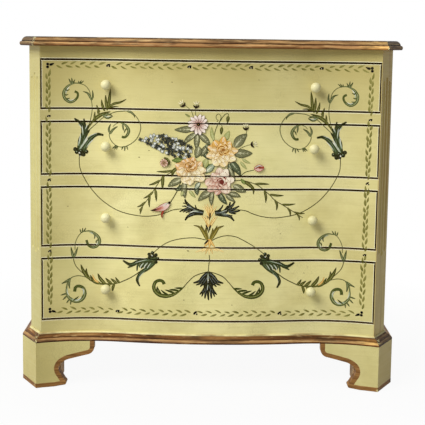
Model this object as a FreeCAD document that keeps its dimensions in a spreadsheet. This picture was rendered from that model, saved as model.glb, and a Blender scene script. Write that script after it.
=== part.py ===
import FreeCAD, Part
import math
import os
import re

import Sketcher

# Painted serpentine chest of four drawers on bracket feet.
# Millimetres. X to the viewer's right, Y to the back, Z up, origin on the floor
# under the middle of the chest's box. Pieces are drawn from the line through the
# two front corners of the case (y = 0 there) and every piece is then moved by
# ShiftY, so that the origin comes under the middle.

DRAWERS = "1234"   # from the top down
RIGHT = 1
LEFT = -1
SIDES = ((RIGHT, "right"), (LEFT, "left"))

SIZES = {
    # the case in plan
    "CaseHalf": 447.0,         # centre line to the outside of a side panel
    "CaseDepth": 450.0,        # line of the front corners to the back
    "CantWidth": 34.2,         # canted corner, measured along the front
    "CantDepth": 63.0,         # canted corner, measured along the side
    "FrontDip": 24.0,          # depth of the two hollows of the serpentine front
    "CentreSet": 1.1,          # middle of the bow behind the line of the corners
    "DipShare": 0.676,         # deepest point of a hollow, as a share of the half front
    "StileWidth": 1.2,         # strip of the post between corner and opening
    "PostDepth": 90.0,
    "SideThick": 18.0,
    "BackThick": 8.0,
    "BackLap": 9.0,            # back panel let into the rebate of a side
    "BottomThick": 18.0,
    # heights, from the floor up
    "FootHeight": 113.5,
    "MouldHeight": 20.5,
    "BaseRailShow": 31.5,      # base rail that shows above the moulding
    "Opening1": 121.0,
    "Opening2": 131.0,
    "Opening3": 148.0,
    "Opening4": 156.0,
    "RailHeight": 29.4,
    "TopRailHeight": 30.8,
    "TopThick": 22.0,
    # the top board and its moulded edge
    "TopOverhang": 23.0,
    "TopBack": 5.0,
    "TopRoughing": 1.0,        # blank of the top before its edge is moulded
    "BeadHeight": 10.2,        # lower rounded band of the edge
    "BeadSwell": 2.6,
    "QuirkIn": 2.6,            # step between the two bands
    "QuirkRise": 1.4,
    "OvoloIn": 12.5,           # upper rounded band, drawn in from the quirk
    "OvoloRadius": 13.2,
    # base moulding
    "MouldOut": 21.0,
    "MouldTopLip": 2.0,        # small flat at the top of the cove
    "CoveIn": 13.0,
    "CoveDrop": 9.5,
    "CoveRadius": 20.0,
    "MouldStep": 2.0,
    "MouldRoundRadius": 14.0,
    "MouldEdge": 3.5,          # upright strip at the lower edge
    # flutes of the corner posts
    "FluteRadius": 8.0,
    "FluteDepth": 3.2,
    "FlutePitch": 19.0,
    "FluteLow": 338.0,
    "FluteHigh": 768.0,
    "FluteStep": 9.0,          # middle flute longer at each end
    # bracket feet
    "FootOut": 21.0,
    "FootThick": 25.0,
    "FootReach": 141.0,        # length of a bracket under the moulding
    "FootWaist": 53.0,         # narrowest place of a bracket
    "FootToe": 70.0,           # length of a bracket at its toe
    "FootToeLift": 3.0,
    "FootFlat": 42.0,          # part of the lower edge that stands on the floor
    "RearFootReach": 105.0,
    "RearFootToe": 48.0,
    "RearFootEnd": 24.0,       # height of the end of a rear board
    "BlockSize": 44.0,
    "BlockLift": 10.0,
    # runners, guides and stops
    "RunnerWidth": 24.0,       # runner inside the opening's side
    "GuideProud": 1.2,         # guide stands inside the line of the opening
    "GuideHeight": 25.0,
    "StopPlace": 150.0,
    "StopWidth": 30.0,
    "StopDepth": 14.0,
    "StopHeight": 8.0,
    "StopGap": 0.3,
    # drawers
    "DrawerGap": 2.0,          # above and below a drawer front
    "DrawerEndGap": 1.8,       # at each end of a drawer front
    "DrawerFrontThick": 22.0,  # in the hollows; the front's back is flat
    "DrawerSideThick": 12.0,
    "DrawerBackThick": 12.0,
    "DrawerBottomThick": 6.0,
    "DrawerBackRoom": 22.0,    # free behind a shut drawer
    "DrawerSideDrop": 12.0,    # side lower than the top of the front
    "RunGap": 0.3,             # drawer side above its runner
    "GrooveRise": 12.0,        # underside of the bottom above the side's edge
    "GrooveDepth": 6.0,
    # knobs
    "KnobShare": 0.617,        # centre of a knob, as a share of the half opening
    "KnobRise1": -1.0,         # above the middle of each drawer front
    "KnobRise2": 4.5,
    "KnobRise3": -2.5,
    "KnobRise4": 0.0,
    "KnobBall": 12.9,          # its widest rings, at 76 and 104 degrees, come to 12.5
    "KnobReach": 17.5,         # seat to the centre of the ball
    "KnobNeck": 5.5,           # neck and tenon, glued in a bore through the front
    "KnobTenon": 20.0,         # seat to the end of the tenon
    "Spare": 6.0,              # how far a cutting shape runs past the piece
}

doc = FreeCAD.newDocument("serpentine_chest")
sizeSheet = doc.addObject("Spreadsheet::Sheet", "Sizes")
planSheet = doc.addObject("Spreadsheet::Sheet", "Plan")
sheetOf = {}

for row, (name, size) in enumerate(SIZES.items(), 1):
    sizeSheet.set("A%d" % row, name)
    sizeSheet.set("B%d" % row, str(size))
    sizeSheet.setAlias("B%d" % row, name)
    sheetOf[name] = "Sizes."
doc.recompute()


# Words of a formula that are cell names get the name of their sheet in front.
def bound(formula):
    return re.sub(r"[A-Za-z]\w*", lambda word: sheetOf.get(word.group(), "") + word.group(), str(formula))


def value(formula):
    return float(sizeSheet.evalExpression(bound(formula)))


# A size that follows from others is a formula in the second sheet.
def derive(name, formula):
    cell = "B%d" % (sum(1 for sheet in sheetOf.values() if sheet == "Plan.") + 1)
    planSheet.set(cell, "=" + bound(formula).replace("Plan.", ""))
    planSheet.setAlias(cell, name)
    sheetOf[name] = "Plan."
    doc.recompute()


# Plan of the front: a bow in the middle between two hollows, all tangent arcs.
derive("Arris", "CaseHalf - CantWidth")
derive("OpeningHalf", "Arris - StileWidth")
derive("DipPlace", "DipShare * Arris")
derive("HollowRadius", "((Arris - DipPlace)^2 + FrontDip^2) / (2 * FrontDip)")
derive("HollowCentre", "FrontDip - HollowRadius")
derive("BowDrop", "FrontDip - CentreSet")
derive("CentreSpan", "(DipPlace^2 + BowDrop^2) / (2 * BowDrop)")
derive("BowRadius", "CentreSpan - HollowRadius")
derive("BowCentre", "CentreSet + BowRadius")
derive("SinJoin", "DipPlace / CentreSpan")
derive("CosJoin", "(CentreSpan - BowDrop) / CentreSpan")
derive("CantFace", "sqrt(CantWidth^2 + CantDepth^2)")
derive("CantX", "CantDepth / CantFace")
derive("CantY", "CantWidth / CantFace")
derive("CantTurn", "asin(CantY) / 1 deg")
derive("JoinTurn", "asin(SinJoin) / 1 deg")
derive("CornerTurn", "asin((CaseHalf - DipPlace) / HollowRadius) / 1 deg")


# The corners of a plan that lies the given distance outside the case: where the
# hollow meets the cant (name + X, Y) and where the cant meets the side (name + Cant).
def deriveCorners(name, out):
    acrossX = f"(Arris + {out} * CantX - DipPlace)"
    acrossY = f"(0 - {out} * CantY - HollowCentre)"
    derive(name + "Along", f"{acrossX} * CantY + {acrossY} * CantX")
    root = f"sqrt({name}Along^2 - {acrossX}^2 - {acrossY}^2 + (HollowRadius - {out})^2)"
    derive(name + "Slide", f"{root} - {name}Along")
    derive(name + "X", f"Arris + {out} * CantX + {name}Slide * CantY")
    derive(name + "Y", f"{name}Slide * CantX - {out} * CantY")
    derive(name + "Cant", f"(CaseHalf + {out} - Arris - {out} * CantX) / CantY * CantX - {out} * CantY")


derive("FootIn", "FootOut - FootThick")
derive("BeadRadius", "(BeadHeight^2 / 4 + BeadSwell^2) / (2 * BeadSwell)")
derive("TopRough", "TopOverhang + TopRoughing")
deriveCorners("Top", "TopOverhang")
deriveCorners("Rough", "TopRough")
deriveCorners("Mould", "MouldOut")
deriveCorners("Foot", "FootOut")
deriveCorners("FootInner", "FootIn")

# heights of the openings, and the middle of the whole box
derive("MouldTop", "FootHeight + MouldHeight")
derive("Level4", "MouldTop + BaseRailShow")
derive("Ceil4", "Level4 + Opening4")
derive("Under4", "FootHeight + BottomThick")
for above, below in ("34", "23", "12"):
    derive("Under" + above, "Ceil" + below)
    derive("Level" + above, f"Under{above} + RailHeight")
    derive("Ceil" + above, f"Level{above} + Opening{above}")
derive("TopUnder", "Ceil1 + TopRailHeight")
derive("TopBackLine", "CaseDepth + TopBack")
derive("ShiftY", "0 - (TopY + TopBackLine) / 2")
derive("SideInner", "CaseHalf - SideThick")
derive("BackFront", "CaseDepth - BackThick")
derive("FrontHalf", "OpeningHalf - DrawerEndGap")
derive("BoxHalf", "FrontHalf - DrawerSideThick")
derive("FrontInner", "FrontDip + DrawerFrontThick")
derive("DrawerLength", "BackFront - DrawerBackRoom")
derive("KnobPlace", "KnobShare * OpeningHalf")
derive("KnobSeat", "HollowCentre + sqrt(HollowRadius^2 - (KnobPlace - DipPlace)^2)")


# An outline is a list of corners (x, y, edge to the next corner). An edge is None
# for a straight line, or (radius, side) with the arc's centre on that side.
def arc(radius, side):
    return (f"({radius})", side)


def turned(edge):
    if edge is None:
        return None
    return (edge[0], "R" if edge[1] == "L" else "L")


# The same outline with x replaced by another formula; flips says that it mirrors.
def mapped(outline, place, flips):
    return [(place(x), y, turned(edge) if flips else edge) for x, y, edge in outline]


def sided(outline, side):
    if side == RIGHT:
        return outline
    return mapped(outline, lambda x: f"0 - ({x})", True)


def rectangle(x0, x1, y0, y1):
    return [(x0, y0, None), (x1, y0, None), (x1, y1, None), (x0, y1, None)]


# Point of the front's plan at x inside a hollow.
def hollowY(x, out=0):
    return f"(HollowCentre + sqrt((HollowRadius - ({out}))^2 - (({x}) - DipPlace)^2))"


# The front from left to right at the given distance outside the case.
def frontRun(out, endX, endY):
    joinX = f"((BowRadius + ({out})) * SinJoin)"
    joinY = f"(BowCentre - (BowRadius + ({out})) * CosJoin)"
    hollow = arc(f"HollowRadius - ({out})", "R")
    bow = arc(f"BowRadius + ({out})", "L")
    return [
        (f"0 - ({endX})", endY, hollow),
        (f"0 - {joinX}", joinY, bow),
        (joinX, joinY, hollow),
        (endX, endY, None),
    ]


def frontRunBack(out, endX, endY):
    run = frontRun(out, endX, endY)
    edges = [turned(edge) for x, y, edge in run]
    points = [(x, y) for x, y, edge in run][::-1]
    return [(x, y, edge) for (x, y), edge in zip(points, edges[:3][::-1] + [None])]


def planeOf(body, role):
    return [feature for feature in body.Origin.OriginFeatures if feature.Role == role][0]


# Draws closed outlines, and ties each corner and radius to its formula.
def sketch(body, name, role, outlines, at=None, turn=None):
    drawing = body.newObject("Sketcher::SketchObject", name)
    drawing.AttachmentSupport = (planeOf(body, role), [""])
    drawing.MapMode = "FlatFace"
    if turn:
        drawing.AttachmentOffset = FreeCAD.Placement(
            FreeCAD.Vector(), FreeCAD.Rotation(FreeCAD.Vector(0, 1, 0), value(turn)))
        drawing.setExpression("AttachmentOffset.Rotation.Angle", bound(turn))
    for axis, formula in (at or {}).items():
        drawing.setExpression("AttachmentOffset.Base." + axis, bound(formula))
    constraints = []
    formulas = []

    def constrain(constraint, formula=None):
        if formula is not None:
            formulas.append((len(constraints), bound(formula)))
        constraints.append(constraint)

    for outline in outlines:
        drawOutline(drawing, outline, constrain)
    drawing.addConstraint(constraints)
    for index, formula in formulas:
        drawing.setExpression("Constraints[%d]" % index, formula)
    return drawing


def drawOutline(drawing, outline, constrain):
    points = [FreeCAD.Vector(value(x), value(y), 0) for x, y, edge in outline]
    ends = []
    for index, (x, y, edge) in enumerate(outline):
        start = points[index]
        end = points[(index + 1) % len(points)]
        if edge is None:
            line = drawing.addGeometry(Part.LineSegment(start, end), False)
            ends.append((line, 1, 2))
            continue
        left = edge[1] == "L"
        piece = drawing.addGeometry(arcBetween(start, end, value(edge[0]), left), False)
        ends.append((piece, 1, 2) if left else (piece, 2, 1))
    for index, (x, y, edge) in enumerate(outline):
        piece, first, last = ends[index]
        after = ends[(index + 1) % len(ends)]
        constrain(Sketcher.Constraint("Coincident", piece, last, after[0], after[1]))
        constrain(Sketcher.Constraint("DistanceX", piece, first, points[index].x), x)
        constrain(Sketcher.Constraint("DistanceY", piece, first, points[index].y), y)
        if edge is not None:
            constrain(Sketcher.Constraint("Radius", piece, value(edge[0])), edge[0])


def arcBetween(start, end, radius, left):
    chord = end - start
    across = FreeCAD.Vector(-chord.y, chord.x, 0).normalize()
    height = math.sqrt(max(radius ** 2 - (chord.Length / 2) ** 2, 0))
    centre = (start + end) * 0.5 + across * (height if left else -height)
    first, last = (start, end) if left else (end, start)
    opens = math.atan2(first.y - centre.y, first.x - centre.x)
    closes = math.atan2(last.y - centre.y, last.x - centre.x)
    if closes < opens:
        closes += 2 * math.pi
    circle = Part.Circle(centre, FreeCAD.Vector(0, 0, 1), radius)
    return Part.ArcOfCircle(circle, opens, closes)


def newBody(label):
    body = doc.addObject("PartDesign::Body", label)
    body.Label = label
    subParts.append(body)
    return body


def pad(body, name, drawing, length):
    feature = body.newObject("PartDesign::Pad", name)
    feature.Profile = drawing
    feature.setExpression("Length", bound(length))
    return feature


# A pocket right through the body on both sides of its sketch, or of a set length
# centred on it. part.py stops if it takes nothing away.
def pocket(body, name, drawing, length=None):
    doc.recompute()
    before = body.Shape.Volume
    feature = body.newObject("PartDesign::Pocket", name)
    feature.Profile = drawing
    feature.Midplane = True
    if length is None:
        feature.Type = "ThroughAll"
    else:
        feature.setExpression("Length", bound(length))
    checkCut(body, feature, before)
    return feature


def groove(body, name, drawing, angle, angle2=None):
    doc.recompute()
    before = body.Shape.Volume
    feature = body.newObject("PartDesign::Groove", name)
    feature.Profile = drawing
    feature.ReferenceAxis = (drawing, ["V_Axis"])
    feature.setExpression("Angle", bound(angle))
    if angle2 is None:
        feature.Midplane = value(angle) < 360
    else:
        feature.Type = "TwoAngles"
        feature.setExpression("Angle2", bound(angle2))
    checkCut(body, feature, before)
    return feature


def checkCut(body, feature, before):
    doc.recompute()
    if not body.Shape.Volume < before:
        raise ValueError(body.Label + ": " + feature.Name + " cuts nothing")


# Plain boards are boxes between two corners.
def board(label, x0, x1, y0, y1, z0, z1):
    box = doc.addObject("Part::Box", label)
    box.Label = label
    box.setExpression("Length", bound(f"{x1} - ({x0})"))
    box.setExpression("Width", bound(f"{y1} - ({y0})"))
    box.setExpression("Height", bound(f"{z1} - ({z0})"))
    box.setExpression("Placement.Base.x", bound(x0))
    box.setExpression("Placement.Base.y", bound(f"{y0} + ShiftY"))
    box.setExpression("Placement.Base.z", bound(z0))
    subParts.append(box)
    return box


# The moulded edge is the board less what a plane of this profile takes off along
# the front, the cants and the sides; the cuts meet in mitres at the corners.
def cutBow(body, name, waste):
    profile = mapped(waste, lambda out: f"0 - (BowRadius + ({out}))", True)
    drawing = sketch(body, name + "BowWaste", "YZ_Plane", [profile], at={"x": "BowCentre"})
    groove(body, name + "Bow", drawing, "2 * JoinTurn")


def cutHollow(body, name, waste, side):
    profile = mapped(waste, lambda out: f"HollowRadius - ({out})", True)
    place = {"x": "HollowCentre", "z": f"{side} * DipPlace"}
    drawing = sketch(body, name + "HollowWaste", "YZ_Plane", [profile], at=place)
    turns = ["JoinTurn + 1", "CornerTurn + 4"]
    groove(body, name + "Hollow", drawing, *(turns if side == RIGHT else turns[::-1]))


def cutCant(body, name, waste, side):
    turn = "0 - CantTurn" if side == RIGHT else "CantTurn - 180"
    place = {"x": f"{side} * Arris"}
    profile = mapped(waste, lambda out: out, False)
    drawing = sketch(body, name + "CantWaste", "XZ_Plane", [profile], at=place, turn=turn)
    pocket(body, name + "Cant", drawing)


def cutSide(body, name, waste, side):
    profile = sided(mapped(waste, lambda out: f"CaseHalf + ({out})", False), side)
    drawing = sketch(body, name + "SideWaste", "XZ_Plane", [profile])
    pocket(body, name + "Side", drawing)


# Profile of what is cut from the top's edge: bead, quirk and ovolo.
def topWaste():
    bead = "TopOverhang - BeadSwell"
    quirk = f"{bead} - QuirkIn"
    return [
        (bead, "TopUnder", arc("BeadRadius", "L")),
        (bead, "TopUnder + BeadHeight", None),
        (quirk, "TopUnder + BeadHeight", None),
        (quirk, "TopUnder + BeadHeight + QuirkRise", arc("OvoloRadius", "L")),
        (f"{quirk} - OvoloIn", "TopUnder + TopThick", None),
        (f"{quirk} - OvoloIn", "TopUnder + TopThick + Spare", None),
        ("TopOverhang + Spare", "TopUnder + TopThick + Spare", None),
        ("TopOverhang + Spare", "TopUnder - Spare", None),
        (bead, "TopUnder - Spare", None),
    ]


# Profile of what is cut from the base moulding: cove, step and rounded edge.
def mouldWaste():
    cove = "MouldTopLip + CoveIn"
    return [
        ("MouldTopLip", "MouldTop", arc("CoveRadius", "L")),
        (cove, "MouldTop - CoveDrop", None),
        (cove, "MouldTop - CoveDrop - MouldStep", arc("MouldRoundRadius", "R")),
        ("MouldOut", "FootHeight + MouldEdge", None),
        ("MouldOut", "FootHeight - Spare", None),
        ("MouldOut + Spare", "FootHeight - Spare", None),
        ("MouldOut + Spare", "MouldTop + Spare", None),
        ("MouldTopLip", "MouldTop + Spare", None),
    ]


def makeTop():
    body = newBody("top_board")
    plan = frontRun("TopRough", "RoughX", "RoughY") + [
        ("CaseHalf + TopRough", "RoughCant", None),
        ("CaseHalf + TopRough", "TopBackLine", None),
        ("0 - (CaseHalf + TopRough)", "TopBackLine", None),
        ("0 - (CaseHalf + TopRough)", "RoughCant", None),
    ]
    drawing = sketch(body, "TopPlan", "XY_Plane", [plan], at={"z": "TopUnder"})
    pad(body, "TopPad", drawing, "TopThick")
    cutBow(body, "Top", topWaste())
    for side, word in SIDES:
        cutHollow(body, "Top" + word, topWaste(), side)
        cutCant(body, "Top" + word, topWaste(), side)
        cutSide(body, "Top" + word, topWaste(), side)


def makeRail(label, low, high):
    body = newBody(label)
    plan = frontRun(0, "OpeningHalf", hollowY("OpeningHalf")) + [
        ("OpeningHalf", "PostDepth", None),
        ("0 - OpeningHalf", "PostDepth", None),
    ]
    drawing = sketch(body, "RailPlan", "XY_Plane", [plan], at={"z": low})
    pad(body, "RailPad", drawing, f"{high} - ({low})")


def makePost(side, word):
    body = newBody("corner_post_" + word)
    plan = [
        ("OpeningHalf", hollowY("OpeningHalf"), None),
        ("Arris", "0", None),
        ("CaseHalf", "CantDepth", None),
        ("CaseHalf", "PostDepth", None),
        ("OpeningHalf", "PostDepth", None),
    ]
    drawing = sketch(body, "PostPlan", "XY_Plane", [sided(plan, side)], at={"z": "FootHeight"})
    pad(body, "PostPad", drawing, "TopUnder - FootHeight")
    stand = "(FluteRadius - FluteDepth)"
    for place in (-1, 0, 1):
        along = f"(CantFace / 2 + {place} * FlutePitch)"
        longer = "FluteStep" if place == 0 else "0"
        height = f"(FluteHigh - FluteLow + 2 * {longer})"
        capsule = [
            ("0", "0", arc("FluteRadius", "L")),
            ("FluteRadius", "FluteRadius", None),
            ("FluteRadius", f"{height} - FluteRadius", arc("FluteRadius", "L")),
            ("0", height, None),
        ]
        seat = {
            "x": f"{side} * (Arris + {along} * CantY + {stand} * CantX)",
            "y": f"FluteLow - {longer}",
            "z": f"{stand} * CantY - {along} * CantX",
        }
        drawing = sketch(body, "FluteShape", "XZ_Plane", [sided(capsule, side)], at=seat)
        groove(body, "Flute", drawing, "360")


def makeSide(side, word):
    body = newBody("side_panel_" + word)
    plan = [
        ("SideInner", "PostDepth", None),
        ("CaseHalf", "PostDepth", None),
        ("CaseHalf", "CaseDepth", None),
        ("SideInner + BackLap", "CaseDepth", None),
        ("SideInner + BackLap", "BackFront", None),
        ("SideInner", "BackFront", None),
    ]
    drawing = sketch(body, "SidePlan", "XY_Plane", [sided(plan, side)], at={"z": "FootHeight"})
    pad(body, "SidePad", drawing, "TopUnder - FootHeight")


def makeRunners(number):
    profile = [
        ("OpeningHalf - RunnerWidth", f"Under{number}", None),
        ("SideInner", f"Under{number}", None),
        ("SideInner", f"Level{number} + GuideHeight", None),
        ("OpeningHalf - GuideProud", f"Level{number} + GuideHeight", None),
        ("OpeningHalf - GuideProud", f"Level{number}", None),
        ("OpeningHalf - RunnerWidth", f"Level{number}", None),
    ]
    makeStrips(f"drawer_{number}_runners", profile)


def makeStrips(label, profile):
    body = newBody(label)
    both = [sided(profile, side) for side, word in SIDES]
    drawing = sketch(body, "StripProfile", "XZ_Plane", both, at={"z": "0 - BackFront"})
    pad(body, "StripPad", drawing, "BackFront - PostDepth")


def makeStops():
    body = newBody("drawer_stops")
    near = "FrontInner + StopGap"
    plan = rectangle("StopPlace - StopWidth / 2", "StopPlace + StopWidth / 2", near, f"{near} + StopDepth")
    for number in DRAWERS:
        both = [sided(plan, side) for side, word in SIDES]
        drawing = sketch(body, "StopPlan", "XY_Plane", both, at={"z": f"Level{number}"})
        pad(body, "StopPad", drawing, "StopHeight")


def makeBaseMoulding():
    front = newBody("base_moulding_front")
    plan = frontRun("MouldOut", "MouldX", "MouldY") + frontRunBack(0, "Arris", "0")
    drawing = sketch(front, "MouldPlan", "XY_Plane", [plan], at={"z": "FootHeight"})
    pad(front, "MouldPad", drawing, "MouldHeight")
    cutBow(front, "Mould", mouldWaste())
    for side, word in SIDES:
        cutHollow(front, "Mould" + word, mouldWaste(), side)
    cant = [
        ("Arris", "0", None),
        ("MouldX", "MouldY", None),
        ("CaseHalf + MouldOut", "MouldCant", None),
        ("CaseHalf", "CantDepth", None),
    ]
    run = [
        ("CaseHalf", "CantDepth", None),
        ("CaseHalf + MouldOut", "MouldCant", None),
        ("CaseHalf + MouldOut", "CaseDepth", None),
        ("CaseHalf", "CaseDepth", None),
    ]
    for side, word in SIDES:
        for kind, plan, cut in (("cant", cant, cutCant), ("side", run, cutSide)):
            body = newBody(f"base_moulding_{kind}_{word}")
            drawing = sketch(body, "MouldPlan", "XY_Plane", [sided(plan, side)], at={"z": "FootHeight"})
            pad(body, "MouldPad", drawing, "MouldHeight")
            cut(body, "Mould", mouldWaste(), side)


# The scroll of a bracket, from the end under the moulding down to the toe, as
# distance from the foot's corner and height; then round the waste under it.
def scroll():
    toe = "FootToe"
    return [
        ("FootReach - 0.5", "FootHeight + Spare", None),
        ("FootReach - 0.5", "FootHeight - 18", arc("20", "R")),
        ("FootReach - 17", "FootHeight - 34.5", None),
        ("FootWaist + 30", "FootHeight - 44", arc("50", "L")),
        ("FootWaist + 7", "FootHeight - 54", arc("19", "L")),
        ("FootWaist", "FootHeight - 68.5", arc("24", "L")),
        ("FootWaist + 5.5", "FootHeight - 82.5", None),
        (f"{toe} - 1.5", "FootToeLift + 10.5", arc("5.5", "R")),
        (f"{toe} - 3", "FootToeLift", None),
        ("FootFlat", "0", None),
        ("FootFlat", "0 - Spare", None),
        ("FootReach + Spare", "0 - Spare", None),
        ("FootReach + Spare", "FootHeight + Spare", None),
    ]


def rearCut():
    return [
        ("RearFootToe", "0", None),
        ("RearFootToe", "0 - Spare", None),
        ("RearFootReach + Spare", "0 - Spare", None),
        ("RearFootReach + Spare", "FootHeight - RearFootEnd", None),
        ("RearFootReach", "FootHeight - RearFootEnd", None),
    ]


def bracket(label, plan, role, waste):
    body = newBody(label)
    drawing = sketch(body, "BracketPlan", "XY_Plane", [plan])
    pad(body, "BracketPad", drawing, "FootHeight")
    if waste:
        cut = sketch(body, "ScrollWaste", role, [waste])
        pocket(body, "Scroll", cut)
    return body


def makeFeet(side, word):
    inner = "(CaseHalf + FootIn)"
    outer = "(CaseHalf + FootOut)"
    end = "(FootX - FootReach)"
    face = [
        (end, hollowY(end, "FootOut"), arc("HollowRadius - FootOut", "R")),
        ("FootX", "FootY", None),
        ("FootInnerX", "FootInnerY", arc("HollowRadius - FootIn", "L")),
        (end, hollowY(end, "FootIn"), None),
    ]
    cant = [
        ("FootInnerX", "FootInnerY", None),
        ("FootX", "FootY", None),
        (outer, "FootCant", None),
        (inner, "FootInnerCant", None),
    ]
    flank = [
        (inner, "FootInnerCant", None),
        (outer, "FootCant", None),
        (outer, "FootCant + FootReach", None),
        (inner, "FootCant + FootReach", None),
    ]
    rearFlank = rectangle(inner, outer, "CaseDepth - FootReach", "CaseDepth")
    rear = rectangle(f"{inner} - RearFootReach", inner, "CaseDepth - FootThick", "CaseDepth")
    faceScroll = sided(mapped(scroll(), lambda s: f"FootX - ({s})", True), side)
    flankScroll = mapped(scroll(), lambda s: f"FootCant + ({s})", False)
    rearFlankScroll = mapped(scroll(), lambda s: f"CaseDepth - ({s})", True)
    rearScroll = sided(mapped(rearCut(), lambda s: f"{inner} - ({s})", True), side)
    bracket("front_foot_face_" + word, sided(face, side), "XZ_Plane", faceScroll)
    bracket("front_foot_cant_" + word, sided(cant, side), "XZ_Plane", None)
    bracket("front_foot_side_" + word, sided(flank, side), "YZ_Plane", flankScroll)
    bracket("back_foot_side_" + word, sided(rearFlank, side), "YZ_Plane", rearFlankScroll)
    bracket("back_foot_rear_" + word, sided(rear, side), "XZ_Plane", rearScroll)


def makeGlueBlocks():
    body = newBody("foot_glue_blocks")
    inner = "(CaseHalf + FootIn)"
    end = "(FootInnerX - BlockSize)"
    back = "FootInnerCant + BlockSize / 2"
    front = [
        (end, hollowY(end, "FootIn"), arc("HollowRadius - FootIn", "R")),
        ("FootInnerX", "FootInnerY", None),
        (inner, "FootInnerCant", None),
        (inner, back, None),
        (end, back, None),
    ]
    rearLine = "(CaseDepth - FootThick)"
    rear = rectangle(f"{inner} - BlockSize", inner, f"{rearLine} - BlockSize", rearLine)
    plans = [sided(plan, side) for plan in (front, rear) for side, word in SIDES]
    drawing = sketch(body, "BlockPlan", "XY_Plane", plans, at={"z": "BlockLift"})
    pad(body, "BlockPad", drawing, "FootHeight - BlockLift")


def makeDrawer(number):
    level = f"Level{number}"
    sideLow = f"({level} + RunGap)"
    sideTop = f"(Ceil{number} - DrawerGap - DrawerSideDrop)"
    grooveLow = f"({sideLow} + GrooveRise)"
    grooveMiddle = f"{grooveLow} + DrawerBottomThick / 2"
    grooveFront = "FrontInner - GrooveDepth"
    bottomHalf = "(BoxHalf + GrooveDepth)"
    knobZ = f"(({level} + Ceil{number}) / 2 + KnobRise{number})"
    name = f"drawer_{number}_"

    front = newBody(name + "front")
    plan = frontRun(0, "FrontHalf", hollowY("FrontHalf")) + [
        ("FrontHalf", "FrontInner", None),
        ("0 - FrontHalf", "FrontInner", None),
    ]
    drawing = sketch(front, "FrontPlan", "XY_Plane", [plan], at={"z": f"{level} + DrawerGap"})
    pad(front, "FrontPad", drawing, f"Opening{number} - 2 * DrawerGap")
    slot = rectangle(f"0 - {bottomHalf}", bottomHalf, grooveFront, "FrontInner + Spare")
    drawing = sketch(front, "BottomSlot", "XY_Plane", [slot], at={"z": grooveMiddle})
    pocket(front, "BottomGroove", drawing, "DrawerBottomThick")
    bores = [knobRing(side, knobZ, "KnobNeck") for side, word in SIDES]
    drawing = sketch(front, "KnobBores", "XZ_Plane", bores)
    pocket(front, "KnobBore", drawing)

    for side, word in SIDES:
        wall = newBody(name + "side_" + word)
        plan = rectangle("BoxHalf", "FrontHalf", "FrontInner", "DrawerLength")
        drawing = sketch(wall, "WallPlan", "XY_Plane", [sided(plan, side)], at={"z": sideLow})
        pad(wall, "WallPad", drawing, f"{sideTop} - {sideLow}")
        slot = rectangle("BoxHalf - Spare", bottomHalf, "FrontInner - Spare", "DrawerLength + Spare")
        drawing = sketch(wall, "WallSlot", "XY_Plane", [sided(slot, side)], at={"z": grooveMiddle})
        pocket(wall, "WallGroove", drawing, "DrawerBottomThick")

    grooveTop = f"{grooveLow} + DrawerBottomThick"
    board(name + "bottom", f"0 - {bottomHalf}", bottomHalf, grooveFront, "DrawerLength", grooveLow, grooveTop)
    board(name + "back", "0 - BoxHalf", "BoxHalf", "DrawerLength - DrawerBackThick", "DrawerLength",
          grooveTop, sideTop)
    makeKnobs(name + "knobs", knobZ)


# A knob is worked with twelve faces round, and so is its bore.
def knobRing(side, z, radius):
    turns = range(0, 360, 30)
    return [(f"{side} * KnobPlace + {radius} * cos({turn} deg)", f"{z} + {radius} * sin({turn} deg)", None)
            for turn in turns]


# Two knobs: rings of the ball from its tip to the neck, then the tenon's end.
def makeKnobs(label, knobZ):
    body = newBody(label)
    neckTurn = "asin(KnobNeck / KnobBall)"
    centre = "KnobSeat - KnobReach"
    rings = [(f"(KnobBall * sin({turn} deg))", f"{centre} - KnobBall * cos({turn} deg)")
             for turn in (16, 46, 76, 104, 134)]
    rings.append(("KnobNeck", f"{centre} + KnobBall * cos({neckTurn})"))
    rings.append(("KnobNeck", "KnobSeat + KnobTenon"))
    for side, word in SIDES:
        loops = [sketch(body, "KnobRing", "XZ_Plane", [knobRing(side, knobZ, radius)], at={"z": f"0 - ({y})"})
                 for radius, y in rings]
        knob = body.newObject("PartDesign::AdditiveLoft", "Knob")
        knob.Profile = loops[0]
        knob.Sections = loops[1:]
        knob.Ruled = True


# Every object must be sound, and each sub-part a valid solid, before anything is
# written.
def finish():
    doc.recompute()
    for item in doc.Objects:
        if "Invalid" in item.State or "Error" in item.State:
            raise ValueError(item.Label + " is " + ", ".join(item.State))
    for part in subParts:
        if part.Shape.isNull() or not part.Shape.isValid() or not part.Shape.Solids:
            raise ValueError(part.Label + " has no valid solid")
    os.makedirs("parts", exist_ok=True)
    for part in subParts:
        part.Shape.exportStep("parts/" + part.Label + ".step")
    print(len(subParts), "sub-parts written")


subParts = []
makeTop()
for side, word in SIDES:
    makePost(side, word)
    makeSide(side, word)
board("back_panel", "0 - (SideInner + BackLap)", "SideInner + BackLap", "BackFront", "CaseDepth",
      "FootHeight", "TopUnder")
board("bottom_board", "0 - SideInner", "SideInner", "PostDepth", "BackFront",
      "FootHeight", "FootHeight + BottomThick")
makeRail("top_rail", "Ceil1", "TopUnder")
for number in DRAWERS[:-1]:
    makeRail("drawer_rail_" + number, f"Under{number}", f"Level{number}")
makeRail("base_rail", "FootHeight", "Level4")
for number in DRAWERS:
    makeRunners(number)
makeStrips("top_kickers", rectangle("OpeningHalf - RunnerWidth", "SideInner", "Ceil1", "TopUnder"))
makeStops()
makeBaseMoulding()
for side, word in SIDES:
    makeFeet(side, word)
makeGlueBlocks()
for number in DRAWERS:
    makeDrawer(number)
for part in subParts:
    if part.TypeId == "PartDesign::Body":
        part.setExpression("Placement.Base.y", bound("ShiftY"))
finish()
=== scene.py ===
import math
import random
from itertools import accumulate

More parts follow.
